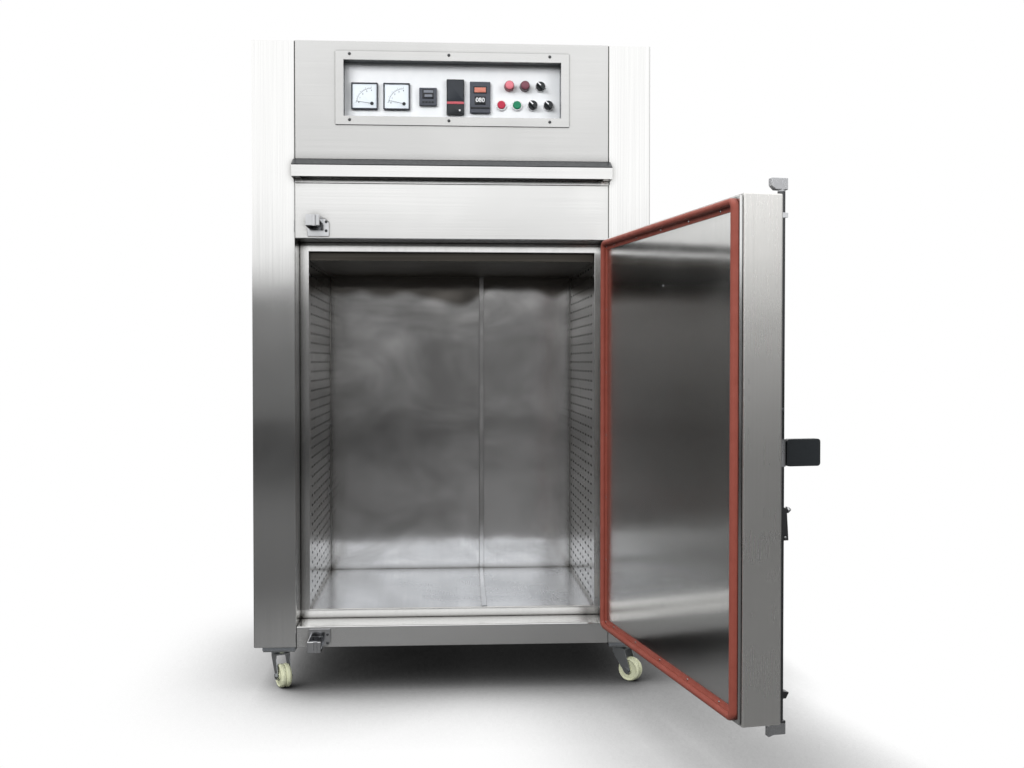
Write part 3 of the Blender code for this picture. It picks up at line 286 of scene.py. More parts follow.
def turned_away(tree, normal):
    """One where a face does not look to the front or the back."""
    flat = add(tree, "ShaderNodeMath", props={"operation": "ABSOLUTE"},
               links={0: part_of(tree, normal, "Y")})
    return add(tree, "ShaderNodeMath", props={"operation": "SUBTRACT"}, values={0: 1.0},
               links={1: flat.outputs[0]}).outputs[0]


# Where the back sheet's top, under the baffle, gets a brown heat tint and painted shade.
TINT_AND_SHADE_EDGE = 1.119
TINT_AND_SHADE_WAVE = 0.16
TINT_AND_SHADE_BLUR = 0.016


def under_baffle(tree, point):
    """One along the top of the back sheet under the baffle, with a wavy lower edge: heat tint and painted
    shade.
    """
    wave = add(tree, "ShaderNodeTexNoise", props={"noise_dimensions": "1D"},
               values={"Scale": 4.5, "Detail": 1.0}, links={"W": part_of(tree, point, "X")})
    height = add(tree, "ShaderNodeMath", props={"operation": "MULTIPLY_ADD"}, values={1: -TINT_AND_SHADE_WAVE},
                 links={0: wave.outputs["Fac"], 2: part_of(tree, point, "Z")})
    middle = TINT_AND_SHADE_EDGE - TINT_AND_SHADE_WAVE / 2
    return add(tree, "ShaderNodeMapRange", props={"interpolation_type": "SMOOTHSTEP"},
               values={"From Min": middle - TINT_AND_SHADE_BLUR, "From Max": middle + TINT_AND_SHADE_BLUR,
                       "To Max": 0.85}, links={"Value": height.outputs[0]}).outputs[0]


def wiped(tree, point):
    """Soft clouds, longer than high, where the sheet has been wiped."""
    wide = add(tree, "ShaderNodeMapping", values={"Scale": (3.0, 3.0, 4.5), "Rotation": (0, 0.5, 0)},
               links={"Vector": point})
    cloud = add(tree, "ShaderNodeTexNoise", values={"Scale": 1.0, "Detail": 5.0, "Roughness": 0.6,
                                                    "Distortion": 0.8},
                links={"Vector": wide.outputs["Vector"]})
    return add(tree, "ShaderNodeMapRange", values={"From Min": 0.42, "From Max": 0.66, "To Max": 0.8},
               links={"Value": cloud.outputs["Fac"]}).outputs[0]


CLAW_SPAN = 27 * MM


def bare_rod(tree, point):
    """One along the rod, zero on the claws at both ends and on the hub of the grip."""
    rod_low, rod_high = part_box("lock_rod")
    grip_low, grip_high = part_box("lock_grip")
    stretches = []
    for low, high in ((rod_low.z + CLAW_SPAN, rod_high.z - CLAW_SPAN), (grip_low.z, grip_high.z)):
        stretches.append(add(tree, "ShaderNodeMath", props={"operation": "COMPARE"},
                             values={1: (low + high) / 2, 2: (high - low) / 2},
                             links={0: part_of(tree, point, "Z")}).outputs[0])
    return add(tree, "ShaderNodeMath", props={"operation": "SUBTRACT", "use_clamp": True},
               links={0: stretches[0], 1: stretches[1]}).outputs[0]


# The tray's walls, which face neither front nor back, are painted dark grey as shade.
recolour(ANODISED, "#4c5052", turned_away, "ShaderNodeNewGeometry", "Normal")
recolour(BACK_STEEL, "#bcbbba", wiped)
# Painted shade and a brown heat tint along the back sheet's top, under the baffle.
recolour(BACK_STEEL, "#5c564e", under_baffle)
recolour(CLAW_STEEL, "#5f6062", bare_rod)

# A thin film of oxide or of handling grease scatters some light back from these three.
for film, bare in ((BACK_STEEL, 0.88), (EDGE_STEEL, 0.94), (CLAW_STEEL, 0.86)):
    film.node_tree.nodes["Principled BSDF"].inputs["Metallic"].default_value = bare
print("sheet and rod finishes are ready")

# %% [markdown]
# Each CAD solid keeps its shape and gets its finish by its material slot. Tall sheets are
# brushed up and down, wide ones from side to side, as they come off the roll.

# %% Dress the CAD nodes
FINISHES = {
    UPRIGHT_STEEL: ["left_side_casing", "right_side_casing", "back_panel", "door_pan",
                    "door_frame"],
    EDGE_STEEL: ["door_slab"],
    LEVEL_STEEL: ["base_panel", "header_panel", "heat_ledge", "roof_panel"],
    CONTROL_STEEL: ["control_front_sheet", "control_bezel"],
    DEEP_STEEL: ["left_base_rail", "right_base_rail", "chamber_floor"],
    LINER_STEEL: ["left_duct_panel", "right_duct_panel"],
    BACK_STEEL: ["chamber_back"],
    # Ceiling and baffle: painted shade over a brownish tint.
    DARK_STEEL: ["chamber_ceiling", "ceiling_baffle"],
    ANODISED: ["instrument_tray"],
    CHROME: ["upper_keeper", "lower_keeper", "upper_hinge_post", "lower_hinge_post",
             "upper_hinge_strap", "lower_hinge_strap", "upper_rod_guide"],
    CLAW_STEEL: ["lock_rod"],
    ROD_STEEL: ["lower_rod_guide", "lock_catch_plate"],
    BLACK_ABS: ["lock_grip", "ledge_strip", "upper_selector", "lower_selector", "right_selector",
                "limit_controller"],
    GREY_ABS: ["timer", "temperature_controller"],
    METER_CASE: ["voltage_meter", "current_meter"],
    DARK_RED_RING: ["power_lamp"],
    DARK_PLUM_RING: ["alarm_lamp"],
    RED_CAP: ["red_button"],
    GREEN_CAP: ["green_button"],
    SILICONE: ["door_gasket"],
}
for corner in ("front_left", "front_right", "rear_left", "rear_right"):
    FINISHES.setdefault(ZINC, []).extend([corner + "_caster_plate", corner + "_fork"])
    FINISHES.setdefault(NYLON, []).append(corner + "_wheel")
dressed = 0
for finish, names in FINISHES.items():
    for name in names:
        slots = NODES[name].data.materials
        if len(slots) == 0:
            slots.append(finish)
        for index in range(len(slots)):
            slots[index] = finish
        dressed += 1
print("dressed nodes:", dressed, "of", len(NODES))

# %% [markdown]
# What the solids leave out is added now. Every piece is placed in the row frame and then rides on
# a CAD body. Door pieces are drawn as if the door were shut and are then swung open with it.

# %% Places measured on the frame
JOINTS = {joint["name"]: joint for joint in frame["joints"]}
SWING = JOINTS["door_swing"]
HINGE_AXIS = Vector(SWING["pos_m"])
OPEN_ANGLE = math.radians(-SWING["range_deg"][0])
DOOR_PLACE = (Matrix.Translation(HINGE_AXIS) @ Matrix.Rotation(OPEN_ANGLE, 4, "Z")
              @ Matrix.Translation(-HINGE_AXIS))
UNDO_SWING = DOOR_PLACE.inverted()
AS_IS = Matrix.Identity(4)


def shut_box(node):
    """Lowest and highest corner of a door node while the door is shut."""
    points = [UNDO_SWING @ v.co for v in NODES[node].data.vertices]
    return (Vector([min(p[i] for p in points) for i in range(3)]),
            Vector([max(p[i] for p in points) for i in range(3)]))


def facing(place, out, up=(0, 0, 1)):
    """Matrix for a shape drawn flat: its Z points along out and its Y along up."""
    out = Vector(out).normalized()
    side = Vector(up).cross(out).normalized()
    turn = Matrix((side, out.cross(side), out)).transposed().to_4x4()
    return Matrix.Translation(place) @ turn


print("door opening angle:", round(math.degrees(OPEN_ANGLE)))

# %% [markdown]
# Two mesh helpers make nearly all small parts. One turns a profile about an axis. The other
# stacks rounded rectangles, each inset by a little more, as a moulded or pressed part is built up.

# %% Mesh helpers


def keep(name, shape, finish, body, place=AS_IS, smooth=35):
    """Make an object of a bmesh, give it a finish, and let it ride on a body."""
    mesh = bpy.data.meshes.new(name)
    bmesh.ops.recalc_face_normals(shape, faces=shape.faces)
    shape.to_mesh(mesh)
    shape.free()
    return show(name, mesh, finish, body, place, smooth)


def show(name, mesh, finish, body, place=AS_IS, smooth=35):
    """Show a mesh at a place; copies of one part share the same mesh."""
    if not mesh.materials:
        mesh.materials.append(finish)
        mesh.polygons.foreach_set("use_smooth", [True] * len(mesh.polygons))
        mesh.set_sharp_from_angle(angle=math.radians(smooth))
    obj = bpy.data.objects.new(name, mesh)
    bpy.context.scene.collection.objects.link(obj)
    obj.matrix_world = place
    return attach(obj, body)


def join_loops(shape, loops, closed=False):
    """Faces between neighbouring loops of equally many vertices."""
    pairs = zip(loops, loops[1:] + loops[:1] if closed else loops[1:])
    for one, two in pairs:
        count = len(one)
        for i in range(count):
            j = (i + 1) % count
            shape.faces.new((one[i], one[j], two[j], two[i]))


def turned(profile, steps=32):
    """Solid of revolution about Z from (radius, height) pairs, ends capped."""
    shape = bmesh.new()
    loops = []
    for radius, height in profile:
        loops.append([shape.verts.new((radius * math.cos(2 * math.pi * i / steps),
                                       radius * math.sin(2 * math.pi * i / steps), height))
                      for i in range(steps)])
    join_loops(shape, loops)
    shape.faces.new(loops[0])
    shape.faces.new(loops[-1])
    return shape


def round_loop(shape, half_u, half_v, corner, height, steps=6):
    """Loop of vertices along a rectangle with round corners."""
    corner = max(min(corner, half_u, half_v) - 1e-5, 1e-5)
    loop = []
    for quarter, (su, sv) in enumerate(((1, 1), (-1, 1), (-1, -1), (1, -1))):
        for step in range(steps + 1):
            angle = math.pi / 2 * (quarter + step / steps)
            loop.append(shape.verts.new((su * (half_u - corner) + corner * math.cos(angle),
                                         sv * (half_v - corner) + corner * math.sin(angle),
                                         height)))
    return loop


def stacked(half_u, half_v, corner, profile, closed=False):
    """Rounded rectangles stacked by (inset, height) pairs: a capped solid or a closed ring."""
    shape = bmesh.new()
    loops = [round_loop(shape, half_u - inset, half_v - inset, corner - inset, height)
             for inset, height in profile]
    join_loops(shape, loops, closed)
    if not closed:
        shape.faces.new(loops[0])
        shape.faces.new(loops[-1])
    return shape


def tablet(width, height, thick, corner=1 * MM):
    """Small plate with round corners and a softened front edge."""
    edge = 0.4 * MM
    return stacked(width / 2, height / 2, corner,
                   [(0, 0), (0, thick - edge), (edge * 0.3, thick - edge * 0.3), (edge, thick)])


def carve(name, shape, cutter):
    """Mesh of one bmesh with another cut out of it."""
    pair = []
    for part in (shape, cutter):
        mesh = bpy.data.meshes.new(name)
        bmesh.ops.recalc_face_normals(part, faces=part.faces)
        part.to_mesh(mesh)
        part.free()
        obj = bpy.data.objects.new(name, mesh)
        bpy.context.scene.collection.objects.link(obj)
        pair.append(obj)
    body, knife = pair
    mod = body.modifiers.new("cut", "BOOLEAN")
    mod.object = knife
    mod.solver = "EXACT"
    graph = bpy.context.evaluated_depsgraph_get()
    mesh = bpy.data.meshes.new_from_object(body.evaluated_get(graph))
    for obj in pair:
        bpy.data.objects.remove(obj)
    return mesh


def block(low, high, shape=None):
    """Plain bmesh box between two corners, for cutting."""
    shape = shape or bmesh.new()
    low, high = Vector(low), Vector(high)
    made = bmesh.ops.create_cube(shape, size=1.0)["verts"]
    bmesh.ops.scale(shape, verts=made, vec=high - low)
    bmesh.ops.translate(shape, verts=made, vec=(low + high) / 2)
    return shape


print("helpers ready")

# %% [markdown]
# Pan-head machine screws with a cross recess hold the sheets. A cold-forged head is a low dome;
# the recess is struck into it. Copies share one mesh, turned a little from each other.

# %% Screw heads
# Nickel-plated steel: small warm sparks on the rim of each dome.
SCREW_STEEL = surface("steel_nickel_plated_screw", "#c6c7c8", "#b4b6b8", 1.0, 0.25, 0.06,
                      2 * MM, 0.06)


def screw_mesh(name, radius, height):
    """Pan head with a cross recess, standing on Z = 0."""
    dome = [(radius * 0.96, 0.0), (radius, height * 0.25)]
    for step in range(1, 6):
        angle = math.pi / 2 * step / 6
        dome.append((radius * math.cos(angle) ** 0.6, height * (0.25 + 0.75 * math.sin(angle))))
    dome.append((radius * 0.12, height))
    arm, half = radius * 0.52, radius * 0.11
    cross = block((-arm, -half, height * 0.35), (arm, half, height * 2))
    block((-half, -arm * 0.999, height * 0.351), (half, arm * 0.999, height * 2.01), cross)
    bmesh.ops.remove_doubles(cross, verts=cross.verts, dist=1e-7)
    return carve(name, turned(dome, 24), cross)


M4_HEAD = screw_mesh("screw_head_m4", 3.9 * MM, 2.6 * MM)
M3_HEAD = screw_mesh("screw_head_m3", 2.8 * MM, 1.9 * MM)
SCREW_TURN = 0.7
SCREWS = []


def screw(head, place, out, body, finish=SCREW_STEEL, swing=AS_IS):
    """Set one screw head on a surface; each is left at another turn, as a hand leaves it."""
    number = len(SCREWS) + 1
    turn = Matrix.Rotation(number * SCREW_TURN, 4, "Z")
    SCREWS.append(show("screw_%03d" % number, head, finish, body,
                       swing @ facing(place, out) @ turn))


print("screw head facets:", len(M4_HEAD.polygons))

# %% [markdown]
# The chamber's side panels are punched sheet: hot air from the fan leaves through rows of short
# slots. A boolean cut of 324 slots would be slow and leave long thin faces, so the mesh is laid
# out as a grid with one slot to a cell. The slots are drawn 22 mm long; the real ones are about
# 26 mm, and at this picture's size those run together. The sheet is 1.5 mm thick.

# %% Punched sheet
SHEET = 1.5 * MM
SLOT_LENGTH = 22 * MM
SLOT_HEIGHT = 7 * MM
SLOT_PITCH = 62 * MM
ROW_PITCH = 27.2 * MM
SLOTS_IN_ROW = 9
ROWS = 36


def punched_sheet(width, height, first, bottom, steps=5):
    """Flat sheet from (0, 0) with rows of obround slots; first and bottom place the first slot."""
    shape = bmesh.new()
    columns = [0.0] + [first + SLOT_PITCH * (i - 0.5) for i in range(SLOTS_IN_ROW + 1)] + [width]
    levels = [0.0] + [bottom + ROW_PITCH * (i - 0.5) for i in range(ROWS + 1)] + [height]
    grid = [[shape.verts.new((u, v, 0)) for u in columns] for v in levels]
    radius = SLOT_HEIGHT / 2
    reach = SLOT_LENGTH / 2 - radius
    for row in range(len(levels) - 1):
        for column in range(len(columns) - 1):
            corners = [grid[row + 1][column + 1], grid[row + 1][column], grid[row][column],
                       grid[row][column + 1]]
            if not (0 < row <= ROWS and 0 < column <= SLOTS_IN_ROW):
                shape.faces.new(corners)
                continue
            u = (columns[column] + columns[column + 1]) / 2
            v = (levels[row] + levels[row + 1]) / 2
            sides = []
            for quarter in range(4):
                su = 1 if quarter in (0, 3) else -1
                sides.append([])
                for step in range(steps):
                    angle = math.pi / 2 * (quarter + (step + 0.5) / steps)
                    sides[-1].append(shape.verts.new((u + su * reach + radius * math.cos(angle),
                                                      v + radius * math.sin(angle), 0)))
            for quarter, side in enumerate(sides):
                for one, two in zip(side, side[1:]):
                    shape.faces.new((corners[quarter], one, two))
                follow = (quarter + 1) % 4
                shape.faces.new((corners[quarter], side[-1], sides[follow][0], corners[follow]))
    return shape


print("slots in a panel:", SLOTS_IN_ROW * ROWS)

# %% [markdown]
# Each sheet is laid on its CAD panel's inner face, with the slots starting from the door. Behind
# it stands a dark lining of painted shade, so that the slots read as openings. A narrow trim closes
# the corner to the back sheet, and small screws hold both upright edges.

# %% Duct panels in the chamber
# Painted shade inside the duct: a brown-black, matt sheet, so that no slot shines.
DUCT_PAINTED_SHADE = surface("steel_duct_inside_painted_shade", "#3a3735", "#2e2b29", 0.5, 0.6, 0.1, 6 * MM, 0.1)
FIRST_SLOT = 59 * MM
LINING_GAP = 2.2 * MM
TRIM_WIDTH = 5 * MM
PANEL_SCREW_EDGE = 9 * MM
PANEL_SCREW_LEVELS = (0.04, 0.27, 0.50, 0.73, 0.96)
for side, out in (("left", 1), ("right", -1)):
    node = side + "_duct_panel"
    low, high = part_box(node)
    width = high.y - low.y
    height = high.z - low.z
    row_length = SLOT_PITCH * (SLOTS_IN_ROW - 1)
    first = FIRST_SLOT if side == "left" else width - FIRST_SLOT - row_length
    bottom = (height - ROW_PITCH * (ROWS - 1)) / 2
    face = high.x if side == "left" else low.x
    start = (face, low.y if side == "left" else high.y, low.z)
    sheet = keep(side + "_punched_sheet", punched_sheet(width, height, first, bottom),
                 LINER_STEEL, "cabinet", facing(start, (out, 0, 0)))
    thicken = sheet.modifiers.new("sheet_thickness", "SOLIDIFY")
    thicken.thickness = SHEET
    thicken.offset = -1
    sheet.data.polygons.foreach_set("use_smooth", [False] * len(sheet.data.polygons))
    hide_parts(node)
    trim = stacked(TRIM_WIDTH / 2, height / 2, 0.5 * MM,
                   [(0, 0), (0, 0.8 * MM), (0.3 * MM, 1.1 * MM)])
    inner = width - 3 * MM if side == "left" else 3 * MM
    keep(side + "_corner_trim", trim, EDGE_STEEL, "cabinet", facing(start, (out, 0, 0))
         @ Matrix.Translation((inner, height / 2, 0)))
    dark = block((2 * MM, 2 * MM, low.x - high.x), (width - 2 * MM, height - 2 * MM, -LINING_GAP))
    bmesh.ops.bevel(dark, geom=dark.edges[:], offset=0.3 * MM, segments=1, affect="EDGES")
    keep(side + "_duct_inside", dark, DUCT_PAINTED_SHADE, "cabinet", facing(start, (out, 0, 0)))
    for share in PANEL_SCREW_LEVELS:
        for y in (low.y + PANEL_SCREW_EDGE, high.y - PANEL_SCREW_EDGE):
            screw(M3_HEAD, (face, y, low.z + height * share), (out, 0, 0), "cabinet")
print("screws on the panels:", len(SCREWS))

# %% [markdown]
# The back and the floor of the chamber are each made of two sheets that overlap a little right of
# the middle. A thin strip with a softened edge gives the line of shade that such a lap has. The
# baffle's front edge is folded up to the ceiling.

# %% Sheet joints in the chamber
LAP_THICK = 1.8 * MM
LAP_WIDTH = 14 * MM
SEAM = -3 * MM
FLOOR_SEAM_LEAN = 0.02
LAP_PROFILE = [(0, 0), (0, LAP_THICK - 0.3 * MM), (0.3 * MM, LAP_THICK)]
FOLD_HEIGHT = 30 * MM
low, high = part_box("chamber_back")
floor_low, floor_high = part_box("chamber_floor")
baffle_low, baffle_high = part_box("ceiling_baffle")
lap = stacked(LAP_WIDTH / 2, (baffle_low.z - floor_high.z) / 2 - MM, 0.4 * MM, LAP_PROFILE)
keep("back_sheet_lap", lap, BACK_STEEL, "cabinet",
     facing((SEAM + LAP_WIDTH / 2, low.y, (baffle_low.z + floor_high.z) / 2), (0, -1, 0)))
lap = stacked(LAP_WIDTH / 2, (low.y - floor_low.y) / 2 - 4 * MM, 0.4 * MM, LAP_PROFILE)
keep("floor_sheet_lap", lap, DEEP_STEEL, "cabinet",
     facing((SEAM - MM, (low.y + floor_low.y) / 2, floor_high.z), (0, 0, 1),
            (FLOOR_SEAM_LEAN, 1, 0)))
lip = block((baffle_low.x + MM, baffle_low.y - 1.5 * MM, baffle_low.z),
            (baffle_high.x - MM, baffle_low.y - 0.3 * MM, baffle_high.z + FOLD_HEIGHT))
bmesh.ops.bevel(lip, geom=lip.edges[:], offset=0.3 * MM, segments=1, affect="EDGES")
keep("baffle_front_fold", lip, DARK_STEEL, "cabinet")
print("lap width:", LAP_WIDTH / MM, "mm")

# %% [markdown]
# The door seal is an extruded silicone tube on a flat foot, which small screws hold close beside
# the tube. Its section is carried round a rectangle with round corners, as the real one is bent,
# so one closed stack of loops makes it. It is drawn relaxed; the real one flattens as the door shuts.

# %% Door seal
TUBE_RADIUS = 7.4 * MM
SEAL_HEIGHT = 14.5 * MM
FOOT_THICK = 2.0 * MM
FOOT_REACH = 9.5 * MM
TUBE_START = 190
TUBE_STEP = 19.5
SEAL_SCREW_PITCH = 165 * MM
PAN_SCREW_X = -10 * MM
PAN_SCREW_RISE = 366 * MM
pan_high = shut_box("door_pan")[1]
seal_low, seal_high = shut_box("door_gasket")
seal_half = (seal_high - seal_low) / 2
seal_middle = (seal_low + seal_high) / 2
PAN_FACE = Vector((seal_middle.x, pan_high.y, seal_middle.z))
tube_centre = SEAL_HEIGHT - TUBE_RADIUS
profile = [(2 * TUBE_RADIUS + FOOT_REACH, 0.0), (0.4 * MM, 0.0), (0.1 * MM, 0.5 * MM),
           (0.3 * MM, tube_centre * 0.6)]
for step in range(13):
    angle = math.radians(TUBE_START - step * TUBE_STEP)
    profile.append((TUBE_RADIUS + TUBE_RADIUS * math.cos(angle),
                    tube_centre + TUBE_RADIUS * math.sin(angle)))
profile += [(2 * TUBE_RADIUS - 1.0 * MM, FOOT_THICK + 1.2 * MM),
            (2 * TUBE_RADIUS + 0.4 * MM, FOOT_THICK), (2 * TUBE_RADIUS + FOOT_REACH, FOOT_THICK * 0.8)]
seal = keep("door_seal", stacked(seal_half.x, seal_half.z, 22 * MM, profile, closed=True),
            SILICONE, "door", DOOR_PLACE @ facing(PAN_FACE + Vector((0, 0.1 * MM, 0)), (0, 1, 0)), 60)
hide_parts("door_gasket")
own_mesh(seal)
inset = 2 * TUBE_RADIUS + 3.2 * MM
for sign in (-1, 1):
    count = int(2 * seal_half.z / SEAL_SCREW_PITCH)
    for i in range(count + 1):
        z = (i - count / 2) * SEAL_SCREW_PITCH
        place = PAN_FACE + Vector((sign * (seal_half.x - inset), FOOT_THICK * 0.8, z))
        screw(M3_HEAD, place, (0, 1, 0), "door", swing=DOOR_PLACE)
    for i in range(5):
        x = (i - 2) * SEAL_SCREW_PITCH
        place = PAN_FACE + Vector((x, FOOT_THICK * 0.8, sign * (seal_half.z - inset)))
        screw(M3_HEAD, place, (0, 1, 0), "door", swing=DOOR_PLACE)
for z in (-PAN_SCREW_RISE, PAN_SCREW_RISE):
    screw(M3_HEAD, PAN_FACE + Vector((PAN_SCREW_X, 0, z)), (0, 1, 0), "door", swing=DOOR_PLACE)
print("seal height:", SEAL_HEIGHT / MM, "mm")

# %% [markdown]
# The instruments are shop goods in standard panel sizes: two 72 mm moving-coil meters, a 48 mm
# timer, a 48 x 96 mm limit controller and a temperature controller with a digit switch. All are
# moulded cases with separate windows and keys, so nearly every face has a finish of its own.

# %% Finishes of the instruments
# Printed card behind the meter's window: cool white, matt, flat.
CARD = surface("card_printed_white", "#e6edf3", "#dde5ec", 0.0, 0.5, 0.05, 2 * MM, 0.03)
# Screen-printed inks: thin and matt, so only their colour shows.
INK = surface("ink_printed_black", "#20242a", "#2a2e34", 0.0, 0.5, 0.05, 2 * MM, 0.03)
WHITE_INK = surface("ink_printed_white", "#e9eaec", "#dcdde0", 0.0, 0.45, 0.05, 2 * MM, 0.03)
RED_STRIPE = surface("paint_red_stripe", "#b85a62", "#ac4d56", 0.0, 0.4, 0.05, 2 * MM, 0.03)
# Smoked acrylic over dark displays: nearly black, and glossier than the case round it.
DARK_WINDOW = surface("acrylic_smoked_window", "#1b1e23", "#15181c", 0.0, 0.22, 0.04, 2 * MM, 0.03)
SMOKED_COVER = surface("acrylic_grey_cover", "#2c3036", "#262a30", 0.0, 0.38, 0.04, 2 * MM, 0.03)
# Red acrylic over unlit digits, washed out by the daylight on it.
RED_WINDOW = surface("acrylic_red_window", "#cf8370", "#c17464", 0.0, 0.18, 0.03, 2 * MM, 0.03)
# Mid grey ABS of the timer's windows, moulded with a light grain.
GREY_KEYS = surface("abs_mid_grey_moulded", "#7b7f88", "#70747d", 0.0, 0.4, 0.05, 1 * MM, 0.05)
# Polished rings round buttons and selectors: the brightest small things on the tray.
WHITE_RING = surface("aluminium_polished_ring", "#f2f3f4", "#e2e3e5", 0.25, 0.28, 0.05, 2 * MM, 0.04)
# Lit red polycarbonate: the lamp behind it lifts it to pink.
PINK_LENS = surface("polycarbonate_pink_lens", "#d9808c", "#cf6f7c", 0.0, 0.2, 0.03, 1.5 * MM, 0.05)
# Blackened steel screws: dark grey, with a dull metallic highlight.
DARK_SCREW = surface("steel_blackened_screw", "#5c5e60", "#4b4d4f", 0.8, 0.42, 0.06, 2 * MM, 0.06)
print("instrument finishes:", len(bpy.data.materials))

# %% [markdown]
# Everything on the panel is drawn flat first, with Z pointing out of it, and is then set on the
# front face of its solid. Printed lines and digits are raised by about 0.2 mm, because a mesh this
# thin keeps its edge where a painted picture would blur.

# %% Placing on the panel
TO_VIEWER = (0, -1, 0)


def front_of(node, right=0.0, up=0.0, out=0.0):
    """Matrix at the middle of a node's front face, moved along the face and out of it."""
    low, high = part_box(node)
    middle = (low + high) / 2
    place = Vector((middle.x + right, low.y - out, middle.z + up))
    return facing(place, TO_VIEWER)


def strip(points, width, height=0.2 * MM):
    """Thin raised line through flat points, mitred at its bends."""
    shape = bmesh.new()
    loops = []
    for index, (u, v) in enumerate(points):
        before = Vector(points[max(index - 1, 0)])
        after = Vector(points[min(index + 1, len(points) - 1)])
        along = (after - before).normalized()
        across = Vector((-along.y, along.x)) * width / 2
        loops.append([shape.verts.new((u + sign * across.x, v + sign * across.y, level))
                      for sign, level in ((1, 0), (1, height), (-1, height), (-1, 0))])
    join_loops(shape, loops)
    shape.faces.new(loops[0])
    shape.faces.new(loops[-1])
    return shape


def digit(name, number, height, finish, body, place):
    """One raised plain digit."""
    curve = bpy.data.curves.new(name, "FONT")
    curve.body = str(number)
    curve.size = height * 1.4
    curve.align_x = "CENTER"
    curve.align_y = "CENTER"
    curve.extrude = 0.15 * MM
    curve.offset = height * 0.025
    curve.resolution_u = 3
    drawn = bpy.data.objects.new(name, curve)
    bpy.context.scene.collection.objects.link(drawn)
    graph = bpy.context.evaluated_depsgraph_get()
    mesh = bpy.data.meshes.new_from_object(drawn.evaluated_get(graph))
    mesh.materials.clear()
    bpy.data.objects.remove(drawn)
    return show(name, mesh, finish, body, place)


# %% [markdown]
# A moving-coil meter is a moulded case with a sunken printed card. Its needle turns about a pivot
# in the lower right corner, under a black hub. The solid is one plain block, so the case made
# here stands in for it, and the card, the scale and the needle lie in its well at their own depths.

# %% Meters
METER_RIM = 3.2 * MM
METER_WELL = 3.0 * MM
PIVOT = Vector((20 * MM, -20 * MM))
SCALE_RADIUS = 41 * MM
SCALE_START = 92
TICK_STEP = 4.2
DIGIT_STEP = 21
NEEDLE_LEAN = (172, 168)
for node, lean in zip(("voltage_meter", "current_meter"), NEEDLE_LEAN):
    low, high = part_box(node)
    half = (high.x - low.x) / 2
    deep = high.y - low.y
    rim = stacked(half, half, 2 * MM, [(0, -deep), (0, -0.8 * MM), (0.8 * MM, 0),
                                       (METER_RIM - 0.6 * MM, 0), (METER_RIM, -0.6 * MM),
                                       (METER_RIM, -deep)], closed=True)
    case = keep(node + "_case", rim, METER_CASE, "cabinet", front_of(node))
    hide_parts(node)
    inside = half - METER_RIM + 0.2 * MM
    keep(node + "_card", tablet(2 * inside, 2 * inside, deep - METER_WELL - 0.4 * MM, 1.5 * MM),
         CARD, "cabinet", front_of(node, out=-deep + 0.2 * MM))
    card = front_of(node, out=-METER_WELL - 0.15 * MM)
    arc = [(PIVOT.x + SCALE_RADIUS * math.cos(math.radians(a)),
            PIVOT.y + SCALE_RADIUS * math.sin(math.radians(a))) for a in range(SCALE_START, 180, 4)]
    keep(node + "_scale", strip(arc, 0.6 * MM), INK, "cabinet", card)
    for step in range(21):
        angle = math.radians(SCALE_START + step * TICK_STEP)
        ray = Vector((math.cos(angle), math.sin(angle)))
        length = (5.5 if step % 5 == 0 else 3.0) * MM
        inner = PIVOT + ray * SCALE_RADIUS
        outer = PIVOT + ray * (SCALE_RADIUS + length)
        keep("%s_tick_%02d" % (node, step), strip([inner, outer], 0.5 * MM), INK, "cabinet", card)
    for index in range(5):
        angle = math.radians(SCALE_START + index * DIGIT_STEP)
        spot = PIVOT + Vector((math.cos(angle), math.sin(angle))) * (SCALE_RADIUS - 5.5 * MM)
        digit("%s_digit_%d" % (node, index), 4 - index, 4.2 * MM, INK, "cabinet",
              card @ Matrix.Translation((spot.x, spot.y, 0.15 * MM)))
    turn = math.radians(lean)
    ray = Vector((math.cos(turn), math.sin(turn)))
    keep(node + "_needle", strip([PIVOT, PIVOT + ray * (SCALE_RADIUS + 2 * MM)], 0.7 * MM, 0.3 * MM),
         INK, "cabinet", front_of(node, out=-METER_WELL + 1.2 * MM))
    keep(node + "_hub", turned([(4.6 * MM, 0), (4.6 * MM, 1.6 * MM), (4.0 * MM, 2.1 * MM),
                                (0.5 * MM, 2.2 * MM)]), BLACK_ABS, "cabinet",
         card @ Matrix.Translation((PIVOT.x, PIVOT.y, 0)))
print("meter face:", round(2 * half / MM), "mm")

# %% [markdown]
# The other instruments are moulded cases with windows, flaps and keys snapped into their fronts.
# Each of those is a thin tablet that starts a little inside the case, so that no gap shows. The
# digit switch has three wheels, whose digits stand proud of the black wheels.

# %% Timer and controllers
SUNK = -0.2
PROUD = 0.5
KEY_PITCH = 8.5
WHEEL_PITCH = 8.4
WHEEL_RISE = -8
WHEEL_DIGITS = (0, 8, 0)


def plate(name, node, width, height, up, finish, right=0, thick=0.8, corner=1, out=SUNK):
    """Tablet on an instrument's front, with all lengths in millimetres."""
    keep(name, tablet(width * MM, height * MM, thick * MM, corner * MM), finish, "cabinet",
         front_of(node, right * MM, up * MM, out * MM))


